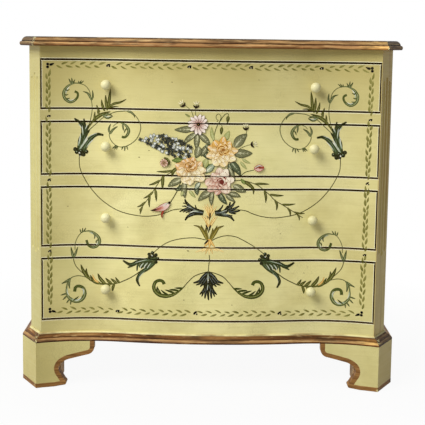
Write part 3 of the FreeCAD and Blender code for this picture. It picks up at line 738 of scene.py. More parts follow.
# A round dab.
def dab(x, z, size, colour, sides=10):
    lift = nextLift()
    turns = [2 * math.pi * k / sides for k in range(sides + 1)]
    rim = [(x + size / 2 * math.cos(turn), z + size / 2 * math.sin(turn), *colour) for turn in turns]
    for k in range(0, sides, 2):
        paintCell([(x, z, *colour), *rim[k:k + 3]], lift)


# A bunch of dark dabs, every other one with a glint.
def knot(places, size, side=1):
    for x, z in places:
        dab(x * side, z, size, paints["tealDark"])
    for index, (x, z) in enumerate(places):
        dab(x * side - 0.5, z + 0.8, size * 0.5, paints["night"])
        if index % 2:
            dab(x * side - 0.8, z + 1.4, size * 0.24, paints["tealLight"])


garland = {
    # the line it follows: x of each side at the bottom and at the top, and the heights
    "left": (-391.5, -394.0), "right": (381.5, 389.0), "top": 795.0, "bottom": 187.0,
    "leaf": 16.5, "width": 4.9, "pitch": 22.5, "spread": 27.0, "lift": 0.2,
    # leaves of the two sides are closer together and fuller
    "sidePitch": 17.5, "sideSpread": 19.0, "sideFull": 1.25,
    # how far a leaf starts from the line, how it bends, and what is left to chance in
    # its place, its heading, its length and its width
    "offLine": 1.5, "bend": 16, "place": 1.2, "heading": 7, "lengths": (0.85, 1.12), "widths": (0.8, 1.15),
    "flowers": (-251, -54, 95, 267), "lowFlowers": (-227, -32, 177), "sideFlowers": (338.0, 515.0, 672.0),
    # room that the leaves leave beside a flower
    "room": 7, "sideRoom": 6,
    "flower": 0.95, "sideFlower": 0.8, "dab": 7.0, "flowerLift": 0.3,
}


# Single leaves turn by turn on the two sides of a straight run, all growing along it.
def garlandRun(x0, z0, x1, z1, pitch, turned, full=1.0):
    length, heading = lengthAndHeading(x0, z0, x1, z1)
    alongX, alongZ = (x1 - x0) / length, (z1 - z0) / length
    for index in range(int(length / pitch * 2)):
        side = 1 if index % 2 else -1
        reach = (index + 0.3) * pitch / 2 + random.uniform(-garland["place"], garland["place"])
        off = side * garland["offLine"]
        shade = random.random() / full
        line = bentLine(x0 + alongX * reach - alongZ * off, z0 + alongZ * reach + alongX * off,
                        heading + side * (turned + random.uniform(-garland["heading"], garland["heading"])),
                        garland["leaf"] * random.uniform(*garland["lengths"]), -side * garland["bend"])
        width = full * garland["width"] * random.uniform(*garland["widths"])
        stroke(line, scaled(blade, width / 2), mixed(paints["olive"], paints["leaf"], shade),
               mixed(paints["leaf"], paints["oliveLight"], 0.5 * shade), garland["lift"])


# A dark bell with a dark dab beside it.
def darkFlower(x, z, size):
    heading = random.uniform(30, 60)
    stroke(bentLine(x - 3.4 * size, z - 2.6 * size, heading, 11 * size, -30, 4),
           [1.9 * size, 2.9 * size, 1.6 * size], paints["black"])
    dab(x + 4.4 * size, z - 2.2 * size, 4.4 * size, paints["black"])
    dab(x + 1.0, z - 1.4, 1.8 * size, paints["cream"])


def makeGarland():
    top, bottom, room, sideRoom = (garland[key] for key in ("top", "bottom", "room", "sideRoom"))
    (lowLeft, left), (lowRight, right) = garland["left"], garland["right"]
    stops = [left + 10, *garland["flowers"], right - 4]
    for start, end in zip(stops, stops[1:]):
        garlandRun(start + room, top, end - room, top, garland["pitch"], garland["spread"])
    stops = [lowRight - 6, *reversed(garland["lowFlowers"]), lowLeft + 6]
    for start, end in zip(stops, stops[1:]):
        garlandRun(start - room, bottom, end + room, bottom, garland["pitch"], garland["spread"])
    breaks = [bottom + 6, *garland["sideFlowers"], top - 10]
    layer["lift"] = garland["flowerLift"]
    for lowX, highX in (garland["left"], garland["right"]):
        places = [lowX + (highX - lowX) * (z - bottom) / (top - bottom) for z in breaks]
        for x0, x1, low, high in zip(places, places[1:], breaks, breaks[1:]):
            garlandRun(x0, low + sideRoom, x1, high - sideRoom, garland["sidePitch"], garland["sideSpread"],
                       garland["sideFull"])
        for x, z in list(zip(places, breaks))[1:-1]:
            darkFlower(x, z, garland["sideFlower"])
        inward = -math.copysign(1.0, lowX)
        for offX, offZ in ((0, 1.6), (-0.4 * inward, -5.4)):
            dab(highX + offX, top + offZ, garland["dab"], paints["black"])
            dab(lowX + offX, bottom - offZ, garland["dab"], paints["black"])
        for x, z, rise in ((highX, top, 1), (lowX, bottom, -1)):
            stroke([(x + 4 * inward, z), (x + 9 * inward, z + rise), (x + 15 * inward, z + 4 * rise)],
                   (2.6, 3.0, 0.8), paints["black"])
    for z, places in ((top, garland["flowers"]), (bottom, garland["lowFlowers"])):
        for x in places:
            darkFlower(x, z, garland["flower"])


makeGarland()

# Scrolling leaves of the upper half, given for the left; the right is its mirror
# image.
upperScroll = (
    ("tendril", (2.1, -70, 448, -20, -3, -16, -7, -28, -8, -36, -2, -51, 10, -41, 24, -28, 29, -18, 28, -11, 27,
      -1, 31)),
    # small volute with its bud
    ("vine", (1.8, -300, 640, 7, 22, 4, 22, 0, 14, -2, 14),
     (1.7, -292, 716, -2, 12, -4, 9, -9, 9, -12, 4, -12, 1)),
    ("sage", (5.2, -291, 710, -3, 8, -6, 9, -11, 4), (4.4, -290, 710, 3, 10, -1, 14)),
    ("curl", (6.4, -316, 750, -15, 1, -11, -4, -9, -7, -6, -11, 1, -12, 6, -8, 9, -4, 10, 4, 7, 9, 0, 9,
      -7, 4)),
    ("glint", (3.0, -352, 724, 2, 10, 7, 9), (2.2, -348, 712, 8, -3, 8, 4)),
    ("sage", (3.4, -354, 738, 5, -5, 6, 3), (3.2, -356, 724, 5, -2, 5, 2), (3.2, -354, 716, 5, -3, 7, 2),
     (3.6, -337, 748, -4, 6, -4, 8), (3.6, -336, 748, -1, 8, -1, 8), (3.2, -334, 749, 1, 5, 3, 6),
     (2.6, -322, 750, 1, 7), (2.6, -320, 750, 6, 8), (2.4, -318, 749, 9, 8)),
    # long circling stem with the half-hidden leaf at its end
    ("vine", (1.9, -304, 630, 22, 20, 20, 18, 15, 8, 14, 6, 13, 2, 18, 1, 13, -5, 12, -13, 7, -16, -1, -15,
      -7, -16, -13, -13, -15, -8, -15, -2, -12, 5, -10, 11, -4, 12, 2, 9)),
    ("sage", (5.0, -244, 628, -4, 12, 5, 13), (5.2, -244, 628, 6, 11, 12, 8)),
    ("vine", (1.3, -238, 646, 7, 7, 9, 3, 6, -1)),
    ("curl", (7.0, -220, 656, 10, -3, 8, -8, 3, -9, -4, -10, -6, -5, -7, 1)),
    ("sage", (3.8, -214, 654, 1, -9, 1, -8), (3.0, -203, 643, -5, -5, -2, -7),
     (5.0, -204, 685, 11, -3, 7, -7, 2, -6), (2.6, -230, 601, -9, -9), (2.8, -228, 601, -6, -11),
     (2.6, -226, 600, -3, -10), (2.6, -212, 599, -5, -9), (2.8, -208, 599, -1, -12), (2.6, -204, 600, 3, -10)),
    # leafy spray
    ("olive", (4.0, -304, 634, 10, 16, 14, 15), (9.0, -290, 655, 14, 14, 14, 8, 18, 6)),
    ("sage", (6.4, -264, 676, 9, -7, 8, -1, 9, 4), (4.8, -258, 676, 10, 0, 9, -3)),
    ("glint", (2.0, -258, 672, 8, -2, 7, 2)),
    ("olive", (5.0, -282, 660, -1, 10, 1, 12), (5.4, -272, 672, -2, 10, 0, 10), (4.4, -270, 682, -5, 7, -3, 10),
     (6.0, -258, 684, -6, 14, -2, 14), (6.8, -252, 686, -3, 19, -1, 18), (7.4, -249, 688, 2, 24, 3, 26),
     (5.6, -250, 693, 14, 9, 16, 4, 15, 8), (3.0, -247, 692, 11, 3, 12, 0)),
    # dark cup
    ("body", (19.0, -317, 580, 2, 18, 4, 20, 3, 18), (10.0, -309, 620, 1, 20, -3, 18)),
    ("teal", (6.4, -309, 612, 6, 14, 8, 11), (6.0, -308, 620, 6, 16, 4, 13),
     (8.0, -312, 600, 5, 23, 1, 20, -3, 22), (10.5, -318, 588, 0, 22, 7, 18, -1, 15, -6, 12, -14, 10),
     (11.5, -311, 586, 11, 21, 13, 14, 12, 6, 14, -2)),
    ("glint", (4.4, -320, 588, 9, 14, 12, 14), (3.0, -313, 600, 8, 13, 6, 11), (3.2, -323, 598, 4, 14, 2, 16),
     (2.4, -311, 624, -1, 12, -1, 12), (2.6, -303, 594, 9, 12, 10, 10), (1.8, -300, 617, 10, 8, 14, 5),
     (2.0, -322, 652, 5, -6, 3, -6), (2.0, -306, 638, 4, 9, 4, 6)),
)
upperKnots = ((-330, 590), (-326, 583), (-310, 577), (-303, 584), (-317, 578), (-316, 586))

# Scrolls of the lower half.
lowerScroll = (
    ("tendril", (2.4, -160, 296, -27, -20, -20, -11, -18, -8, -17, -3)),
    ("olive", (4.2, -225, 257, -17, -3, -25, 0, -16, 4, -15, 8, -12, 14), (6.0, -220, 257, -6, 7, -5, 8),
     (6.6, -227, 256, -8, 6, -8, 6), (7.0, -239, 255, -8, 5, -9, 9), (8.6, -256, 254, -12, 12, -7, 14),
     (8.6, -268, 254, -17, 7, -9, 15)),
    ("glow", (4.4, -273, 257, -10, 8, -5, 13)),
    ("olive", (8.0, -294, 264, -9, 14, 0, 15), (8.4, -300, 268, -11, 19, -6, 16),
     (6.8, -246, 255, -2, -9, 0, -9), (6.8, -233, 255, -4, -9, -1, -10)),
    # rising stem, its bud and volute
    ("tendril", (2.0, -306, 275, -20, 20, -7, 14, -2, 13)),
    ("sage", (6.0, -335, 318, -3, 15, -3, 14), (5.4, -335, 318, 6, 15, 5, 14)),
    ("vine", (1.7, -331, 340, 1, 17, 6, 15, 8, 10, 10, 5)),
    ("sage", (2.8, -316, 382, -3, 10), (2.8, -313, 383, 1, 12), (2.6, -310, 385, 6, 10)),
    ("curl", (7.0, -312, 385, 17, 2, 14, -7, 9, -11, 1, -11, -7, -9, -10, -3, -10, 5, -5, 13)),
    ("glint", (2.6, -296, 384, 11, -5, 7, -8), (2.2, -274, 362, -3, -8, -8, -4)),
    ("sage", (3.6, -288, 383, 6, -7, -2, -9), (3.0, -274, 366, -5, -5, 0, -5)),
    # low volute under two leaves
    ("vine", (1.9, -302, 270, -17, 4, -13, -1, -12, -6, -7, -10)),
    ("sage", (5.2, -340, 269, -12, -8, -12, -6), (5.2, -343, 268, -3, -12, 2, -14)),
    ("curl", (9.0, -350, 258, -2, -21, 4, -15, 11, -10, 13, -2, 11, 6, 6, 13, -4, 14, -10, 5, -9, -3, -2, -11)),
    ("glint", (3.6, -340, 216, 14, -4, 11, 8), (2.6, -311, 226, 1, 10, -5, 7),
     (2.2, -350, 244, 0, -10, 4, -10)),
    ("tooth", (4.2, -336, 211, 8, 6, 6, 5)),
    ("sage", (3.4, -352, 230, -7, -2, -7, -2), (3.4, -351, 224, -5, -5, -5, -5),
     (3.2, -344, 215, -5, -5, -3, -5), (3.2, -340, 213, -2, -6, 0, -6)),
    # dark cup
    ("body", (20.0, -130, 328, -12, -10, -14, -9, -16, -8)),
    ("teal", (4.4, -172, 312, -4, -10, -1, -12), (4.2, -162, 312, -4, -8, 0, -8),
     (5.0, -182, 306, -9, -4, -9, -5), (11.0, -130, 322, -27, -5, -17, -4, -15, -7, -10, 1, -13, 8),
     (10.0, -131, 316, -18, -17, -17, -12, -9, -14, -1, -9, 6, -12)),
    ("glint", (3.0, -150, 312, -7, -8, -3, -8), (2.8, -160, 311, -7, -8, -3, -9),
     (2.2, -142, 312, -6, -8, -4, -7), (1.4, -150, 320, -18, -5, -14, -5), (1.4, -158, 290, -12, -14, -3, -12)),
)
lowerKnots = ((-147, 333), (-139, 337), (-130, 332), (-126, 323), (-130, 314), (-138, 329), (-146, 326))

for side in (1, -1):
    paintMotif(upperScroll, side)
    knot(upperKnots, 10.4, side)
    dab(-320 * side, 581, 3.4, paints["white"])
    dab(-318 * side, 573, 2.2, paints["white"])
    paintMotif(lowerScroll, side)
    knot(lowerKnots, 8.8, side)
    dab(-140 * side, 330, 2.6, paints["white"])

# Middle of the front: a tied sheaf in a cup of leaves between two dark leaves, with
# a hanging drop and two scrolled leaves under it.
hangingLeaves = (
    ("tendril", (2.2, -2, 292, -16, -4, -18, -8, -14, -14, -13, -15, -9, -8)),
    ("tooth", (5.4, -62, 250, -10, 0, -12, 0), (5.6, -72, 243, -12, 2, -13, 1), (5.8, -82, 236, -12, 5, -14, 4),
     (5.6, -96, 230, -11, 6, -11, 9), (5.0, -112, 229, -8, 9, -5, 12), (4.2, -126, 236, -1, 8, 1, 10)),
    ("fern", (9.6, -58, 256, -10, -10, -10, -8, -14, -7, -15, -2, -14, 3, -10, 8, -4, 11, 4, 12, 9, 5, 9, -2,
      4, -7)),
    ("inky", (12.0, -2, 290, -5, -20, -1, -22), (10.0, -2, 288, -12, -14, -8, -8)),
    ("night", (8.4, 0, 291, -13, -11, -9, -11, -15, -5), (6.4, -8, 278, -11, -14, -11, -5),
     (7.0, -1, 282, -9, -16, -10, -11), (7.2, -1, 270, -9, -21, -11, -14), (6.0, -2, 262, -9, -19, -5, -13),
     (7.0, 0, 268, -6, -25, -2, -18)),
)
collarLeft = (
    ("vine", (1.8, -70, 448, 10, -1)),
    ("night", (3.6, -38, 443, -6, -3, -7, -2), (3.6, -44, 445, -7, -3, -7, -3), (3.6, -50, 447, -7, -3, -8, -4),
     (3.4, -50, 452, -8, 3, -9, 0), (3.4, -48, 455, -8, 6, -9, 2), (3.2, -30, 446, -3, 6, -2, 7),
     (6.6, -33, 444, -17, 5, -13, -3, -10, -5), (9.6, -20, 442, -17, 5, -12, 9, -8, 9, -3, 7),
     (4.4, -36, 436, -10, -5, -8, -4), (9.0, -17, 437, -13, 1, -13, -3, -10, -6, -6, -9),
     (12.6, -14, 439, -10, 2, -10, 0, -10, 2)),
    ("glint", (3.4, -26, 443, -12, 0, -11, -5), (1.8, -42, 450, -8, 3, -7, 2)),
)
collarRight = (
    ("vine", (1.8, 70, 448, -10, -1)),
    ("night", (4.6, 19, 441, 9, 9, 6, 10), (4.4, 28, 441, 10, 6, 7, 11), (6.0, 35, 442, 12, 11, 4, 14),
     (6.6, 42, 446, 13, 11, 8, 12), (6.2, 45, 446, 15, 4, 13, 7), (5.6, 48, 445, 15, -2, 13, 3),
     (4.4, 48, 443, 9, -4, 9, -1), (5.0, 36, 436, 11, -3, 10, 0), (8.6, 18, 437, 13, -2, 13, -2, 9, -4, 8, -9),
     (12.6, 14, 439, 10, 1, 10, 0, 12, 5)),
    ("glint", (2.0, 26, 441, 10, 3, 8, 3), (1.8, 30, 437, 12, 0, 8, -1)),
)
sheaf = (
    ("tendril", (2.0, -8, 372, -13, 3, -17, 2, -24, -2, -20, -4, -15, -5, -15, -8, -16, -13, -9, -9),
     (2.0, 6, 370, 13, 7, 16, 5, 16, 1, 16, -3, 17, -8, 26, -15, 18, -13, 9, -8)),
    ("gold", (5.4, -1, 428, -3, 16, -8, 16), (5.0, 0, 430, -2, 16, -3, 16), (5.0, 1, 430, 1, 16, 1, 16),
     (5.0, 1, 430, 4, 16, 4, 15), (5.4, 2, 428, 7, 14, 9, 14)),
    ("wheat", (3.0, -2, 432, -7, 14, -8, 9)),
    ("gold", (5.4, -2, 404, -6, 16, -11, 13), (5.0, -1, 406, -5, 18, -5, 13), (5.4, 1, 406, 8, 16, 6, 14),
     (5.2, 2, 404, 8, 14, 10, 13)),
    ("wheat", (3.0, -1, 410, -1, 14, -2, 14)), ("soot", (4.2, 2, 440, 0, -9, -2, -10), (3.0, -4, 432, 2, -7)),
    ("cup", (7.0, -2, 372, -5, 16, -1, 15), (7.0, 2, 372, 6, 16, 1, 14), (7.4, -4, 372, -8, 18, -8, 19),
     (7.4, 3, 372, 9, 18, 8, 18), (7.4, -5, 372, -9, 19, -10, 13, -14, 4), (7.4, 5, 372, 10, 18, 8, 12, 14, 6)),
    ("soot", (4.0, -8, 410, 3, -8, 2, -8), (4.4, 4, 410, -3, -10, -3, -11)),
    ("glow", (6.0, 0, 374, -5, -12, -7, -7), (6.0, 1, 374, 1, -12, -1, -10), (6.0, 2, 374, 6, -11, 7, -8)),
    ("soot", (4.6, -1, 372, -5, -5, -6, -6)),
    ("wheat", (4.0, -2, 354, -13, -6, -18, -7), (3.8, -1, 354, -9, -7, -8, -6)),
    ("gold", (3.6, 0, 354, -5, -8, -3, -10)), ("wheat", (3.8, 1, 354, 0, -9, 0, -11)),
    ("gold", (3.8, 2, 354, 4, -7, 4, -10)),
    ("wheat", (4.0, 3, 354, 10, -5, 10, -5), (4.0, 4, 354, 16, -4, 17, -8)),
    ("tendril", (1.8, 1, 335, 1, -13, -2, -16, 0, -16)),
)


hangingDrop = (
    ("inky", (7.0, 0, 268, -1, -24, 2, -23)),
    ("glint", (2.6, -1, 289, 0, -13, 0, -12), (2.0, -1, 261, -1, -9, 0, -6)),
)

for side in (1, -1):
    paintMotif(hangingLeaves, side)
brushAll(hangingDrop)
for table in (collarLeft, collarRight, sheaf):
    paintMotif(table)

# Tones of the bouquet's leaves: edge, root, tip and veins.
veined = {
    "grey": (tone(38, 40, 22), tone(136, 134, 98), tone(92, 94, 62), tone(206, 204, 164)),
    "dark": (tone(30, 36, 20), tone(96, 104, 74), tone(60, 68, 44), tone(172, 178, 144)),
    "green": (tone(78, 94, 40), tone(120, 136, 66), tone(98, 116, 50), tone(150, 162, 96)),
    "pale": (tone(150, 152, 88), tone(178, 180, 118), tone(160, 164, 100), tone(200, 200, 144)),
    "silver": (tone(42, 54, 40), tone(176, 184, 152), tone(112, 130, 104), tone(230, 232, 206)),
}
leaf = {
    "shape": (0.12, 0.62, 0.92, 1.0, 0.9, 0.66, 0.34, 0.04), "spacing": 2.0, "outline": 0.3, "inside": 1.0,
    # the middle rib, and the side veins: where along it they leave, their angle, their
    # reach as a part of the leaf's width and the place where that is longest
    "rib": (0.55, 0.35), "veins": (0.18, 0.36, 0.54, 0.7), "turn": 46, "reach": 0.42, "longest": 0.4,
    "vein": (0.7, 0.2),
}


def veinedLeaf(kind, x0, z0, x1, z1, width, bend):
    edge, root, tip, vein = veined[kind]
    middleX, middleZ = (x0 + x1) / 2 - (z1 - z0) * bend, (z0 + z1) / 2 + (x1 - x0) * bend
    line = smoothLine([(x0, z0), (middleX, middleZ), (x1, z1)], leaf["spacing"])
    stroke(line, scaled(leaf["shape"], width / 2, leaf["outline"]), edge)
    stroke(line, scaled(leaf["shape"], width / 2 - leaf["inside"]), root, tip)
    stroke(line[1:-2], leaf["rib"], vein, root)
    length, heading = lengthAndHeading(x0, z0, x1, z1)
    for share in leaf["veins"]:
        x, z = line[int(share * (len(line) - 1))]
        reach = width * leaf["reach"] * (1.1 - abs(share - leaf["longest"]))
        for turn in (-leaf["turn"], leaf["turn"]):
            stroke(bentLine(x, z, heading + turn, reach, -turn * 0.4, 3), leaf["vein"], vein, root)
    stroke(bentLine(x0, z0, heading + 12, length * 0.5, -20, 4), (0.3, width * 0.09, 0.1), vein)


# Leaves of the bouquet: kind, x and z of the root and of the tip, and width.
bouquetLeaves = (
    ("dark", -22, 596, -2, 570, 16), ("grey", -14, 562, -24, 530, 14), ("dark", 46, 560, 60, 532, 14),
    ("grey", -8, 604, -22, 578, 14), ("green", 2, 560, -8, 536, 12), ("grey", 46, 552, 62, 520, 12),
    ("dark", -64, 506, -84, 494, 12), ("grey", 40, 486, 62, 468, 12), ("pale", -8, 572, -14, 548, 15),
    ("pale", 9, 618, 3, 650, 9), ("pale", 36, 618, 46, 641, 13), ("pale", 78, 574, 98, 563, 6),
    ("pale", 74, 566, 90, 548, 7), ("grey", -38, 646, -87, 642, 16), ("grey", -34, 634, -66, 606, 13),
    ("grey", -31, 632, -33, 594, 14), ("grey", -26, 632, 0, 606, 15), ("grey", -27, 602, -35, 574, 19),
    ("dark", -12, 606, 12, 588, 13), ("grey", 60, 602, 89, 634, 23), ("grey", 58, 586, 103, 587, 21),
    ("green", -64, 568, -93, 567, 13), ("dark", 50, 566, 75, 532, 18), ("grey", 58, 508, 89, 492, 18),
    ("grey", 49, 488, 76, 480, 13), ("dark", 22, 490, 43, 461, 14), ("grey", -70, 522, -102, 503, 17),
    ("grey", -62, 516, -60, 475, 15), ("pale", -50, 494, -35, 477, 8), ("dark", -31, 506, -30, 483, 12),
    ("grey", 4, 494, -28, 469, 17), ("grey", 6, 492, 5, 458, 12), ("silver", -9, 540, 13, 562, 15),
    ("silver", -24, 514, -36, 496, 11), ("green", 86, 512, 76, 524, 8), ("pale", -66, 492, -70, 480, 7),
)
bouquetSprays = (
    ("tendril", (2.0, -76, 551, -15, -11, -25, -17, -16, -23, -14, -22, -14, -20, -12, -16)),
    ("olive", (5.4, -88, 543, -20, -4, -22, 0), (8.4, -80, 549, -9, -9, -4, -14),
     (8.0, -114, 530, -1, -16, 0, -19), (5.4, -122, 518, -12, -8, -15, -5), (6.2, -133, 496, 2, -15, 1, -16),
     (5.4, -138, 489, -12, -11, -12, -6), (5.4, -146, 480, -2, -16, 1, -14),
     (4.6, -156, 464, -12, -10, -10, -4), (4.4, -164, 452, -4, -10, -2, -10)),
    ("tendril", (2.0, 56, 518, 25, 2, 33, -10, 17, -12, 17, -14, 13, -13, 31, -19, 39, -25)),
    ("olive", (8.4, 78, 520, 17, -9, 12, -12, 0, -13), (5.4, 110, 512, 17, 0, 19, -1),
     (6.2, 134, 496, 4, -15, 0, -16), (5.4, 148, 486, 18, -3, 16, 0), (5.6, 160, 473, 6, -13, -1, -14),
     (4.8, 178, 461, 18, -1, 16, 2), (4.8, 192, 453, 7, -11, 0, -12), (4.4, 208, 442, 14, -4, 14, 0),
     (4.0, 216, 437, 6, -9, 0, -8)),
    # tendril with hanging buds
    ("vine", (1.8, 7, 616, 5, 25, 6, 15, 6, 10, 8, 12, 7, 5, 4, -1, 0, -8),
     (1.4, 16, 652, 8, 16, 1, 9, -6, 5, -5, -4, 0, -8, 5, -4, -4, -3), (1.3, 22, 660, 5, -4, 1, -8)),
    ("olive", (8.0, 43, 677, -1, -8, -1, -9), (7.4, 28, 650, -1, -8, -1, -10)),
    ("vine", (1.3, 84, 628, 4, 12, -2, 10), (1.3, 62, 590, 16, 11, 12, 5, 14, 3),
     (1.3, -42, 676, -6, 14, -15, 12), (1.3, -36, 678, -1, 12, 1, 10)),
    ("faint", (5.0, -50, 674, -12, 7)), ("vine", (1.7, 76, 532, 12, 9, 20, 5)),
    ("tendril", (2.2, -96, 463, 9, 15, 9, 17, 10, 27)),
)
# Little buds: x, z and heading in degrees.
littleBuds = ((-69, 705, 125), (-35, 703, 92), (86, 651, 92), (106, 609, 18))


# A dark crescent cup with three pale rays.
def littleBud(x, z, heading):
    for turn in (-46, 0, 46):
        stroke(bentLine(x, z, heading + turn, 10.5, -turn * 0.3, 4), (0.9, 1.5, 0.3), paints["sage"],
               paints["cream"])
        stroke(bentLine(*pointAt(x, z, heading + turn, 2), heading + turn, 7, -turn * 0.3, 4), (0.6, 0.9, 0.2),
               paints["cream"])
    way = math.radians(heading)
    aheadX, aheadZ = math.cos(way), math.sin(way)
    arc = []
    for turn in (-75, -40, 0, 40, 75):
        reach = math.radians(heading + turn)
        outX, outZ = x + 7.5 * math.cos(reach) - 4.6 * aheadX, z + 7.5 * math.sin(reach) - 4.6 * aheadZ
        arc.append((2 * (x - 1.2 * aheadX) - outX, 2 * (z - 1.2 * aheadZ) - outZ))
    stroke(smoothLine(arc), (0.2, 1.8, 2.9, 1.8, 0.2), paints["soot"])


# Half widths of a petal from root to tip, as parts of half its width; how far its
# outline shows and its own tones keep inside; and the pale light along its outer part.
petals = {
    "plain": (0.35, 0.72, 0.95, 1.05, 1.0, 0.78, 0.34),
    "frilled": (0.4, 0.86, 0.82, 1.12, 0.88, 0.98, 0.6, 0.5, 0.12),
    "steps": 10, "outline": 0.7, "inside": -0.2, "light": (0.2, 1.0, 0.9, 0.3), "lightWidth": 0.15, "pale": 0.55,
}


def petal(x, z, heading, length, width, tones, bend, shape="plain"):
    edge, root, tip = tones
    line = bentLine(x, z, heading, length, bend, petals["steps"])
    stroke(line, scaled(petals[shape], width / 2, petals["outline"]), edge)
    stroke(line, scaled(petals[shape], width / 2, petals["inside"]), root, tip)
    light = mixed(tip, paints["shell"], petals["pale"])
    stroke(line[3:], scaled(petals["light"], width * petals["lightWidth"]), light)
    stroke(line[:-2], (width * 0.05, width * 0.04, 0.1), mixed(root, edge, 0.6))


fullFlowers = {
    # rings of petals from the outside in: how many, how far out they start, their length
    # and their width, as parts of the flower's radius
    "rings": ((9, 0.44, 0.62, 0.58), (8, 0.28, 0.60, 0.52), (7, 0.12, 0.54, 0.44), (5, 0.02, 0.42, 0.36)),
    # folds of the heart: where they turn and how far out, then how long and how bent
    "folds": ((20, 0.3), (110, 0.26), (200, 0.28), (290, 0.25), (60, 0.16), (240, 0.14)),
    "foldTurn": 60, "foldLength": 0.42, "foldBend": 110,
    # each ring is turned from the one before it and is deeper at the root
    "ringTurn": 23, "deeper": 0.12, "deep": (0.3, 0.5), "outline": 0.86,
    # what is left to chance in a petal
    "heading": 18, "warmth": 0.3, "lengths": (0.74, 1.1), "widths": (0.78, 1.16), "bend": 38,
}


def chance(key):
    return random.uniform(-fullFlowers[key], fullFlowers[key])


# A full flower, warm on one side and pale on the other, round a deep folded heart.
def fullFlower(values):
    x, z, radius = values["x"], values["z"], values["radius"]
    for index, (count, reach, length, width) in enumerate(fullFlowers["rings"]):
        for k in range(count):
            heading = values["turn"] + fullFlowers["ringTurn"] * index + 360 / count * k + chance("heading")
            share = 0.5 + 0.5 * math.cos(math.radians(heading - values["warmSide"])) + chance("warmth")
            tip = mixed(values["pale"], values["warm"], min(max(share, 0.0), 1.0))
            root = mixed(tip, values["deep"], random.uniform(*fullFlowers["deep"]) + fullFlowers["deeper"] * index)
            petal(*pointAt(x, z, heading, radius * reach), heading,
                  radius * length * random.uniform(*fullFlowers["lengths"]),
                  radius * width * random.uniform(*fullFlowers["widths"]),
                  (mixed(tip, values["deep"], fullFlowers["outline"]), root, tip), chance("bend"),
                  "frilled" if random.random() < values["frill"] else "plain")
    heartX, heartZ = x + radius * values["heart"][0], z + radius * values["heart"][1]
    for turn, reach in fullFlowers["folds"]:
        arc = bentLine(*pointAt(heartX, heartZ, turn, radius * reach), turn + fullFlowers["foldTurn"],
                       radius * fullFlowers["foldLength"], fullFlowers["foldBend"], 8)
        stroke(arc, (0.4, radius * 0.085, radius * 0.1, 0.3), mixed(values["warm"], values["pale"], 0.45),
               values["warm"])
        stroke(arc, (0.2, radius * 0.035, radius * 0.045, 0.1), values["deep"])
    dab(heartX, heartZ, radius * values["eye"], values["deep"])


# Place and radius, heading of the first petal and of the warm side, where the heart
# lies and how wide its eye is as parts of the radius, and the share of frilled petals.
roses = (
    {"x": 28, "z": 589, "radius": 36, "turn": 12, "warmSide": 95, "heart": (0.12, 0.16), "eye": 0.2,
     "frill": 0.85, "warm": tone(236, 186, 96), "pale": tone(253, 238, 184), "deep": tone(150, 96, 36)},
    {"x": -47, "z": 542, "radius": 36, "turn": 40, "warmSide": 100, "heart": (-0.02, 0.32), "eye": 0.22,
     "frill": 0.7, "warm": tone(226, 172, 102), "pale": tone(254, 244, 194), "deep": tone(142, 98, 44)},
    {"x": 25, "z": 516, "radius": 33, "turn": 5, "warmSide": 215, "heart": (0.14, 0.02), "eye": 0.36,
     "frill": 0.3, "warm": tone(224, 176, 152), "pale": tone(254, 242, 214), "deep": tone(112, 44, 36)},
)
daisy = {
    "x": -29, "z": 656, "count": 13, "start": 4.5, "length": 20.5, "width": 9.0,
    "tones": (tone(84, 56, 42), tone(196, 152, 136), tone(250, 238, 226)), "heartDabs": 7,
}
spike = {
    # middle of the pointed cluster of bells and its half width from the tip to the bouquet
    "line": ((-171, 615), (-148, 617), (-123, 611), (-96, 603), (-71, 595), (-49, 587)),
    "half": (1.5, 9.5, 16, 21, 23, 19, 15), "pitch": 7.6,
    # shares of dark bells before and after the place where they thicken
    "dark": (0.6, 0.8), "thickens": 0.75, "darkPaints": ("night", "tealDark", "nightDark"),
    # rows across are closer than the pitch and lean; a bell's place and reach vary
    "rowPitch": 0.82, "lean": 0.25, "place": (2.4, 2.6), "reach": (3.6, 5.6), "petals": 4,
}
hangingBud = {
    "line": ((-98, 462), (-112, 452), (-128, 446), (-142, 443)), "root": (-98, 463),
    "drop": ((-112, 444), (-116, 434), (-115, 424)),
    # how far each vein starts from the middle, and the share of the bud where it ends
    "veins": ((-4.2, 0.8), (-1.4, 0.92), (1.6, 0.86), (4.6, 0.76)),
    "over": (("glint", (3.0, -100, 464, -7, -6, -7, -4)), ("soot", (4.0, -128, 446, -8, -2, -9, -1))),
}
sideBuds = {
    "red": (120, 551), "redLength": 24.0, "rosette": (-112, 561),
    "redOver": (("rust", (3.4, 110, 549, 10, 5, 10, -1), (5.0, 132, 552, -7, 0, -6, -2)),
                ("glint", (3.0, 112, 552, 7, 5, 7, -1))),
    "rosetteTones": (tone(128, 94, 66), tone(160, 114, 88), tone(216, 176, 148)),
    "curl": (("soot", (3.0, -113, 573, 8, -4, 4, -8, -3, -8)),
             ("olive", (4.6, -112, 574, 8, -3, 5, -10, -4, -9))),
}


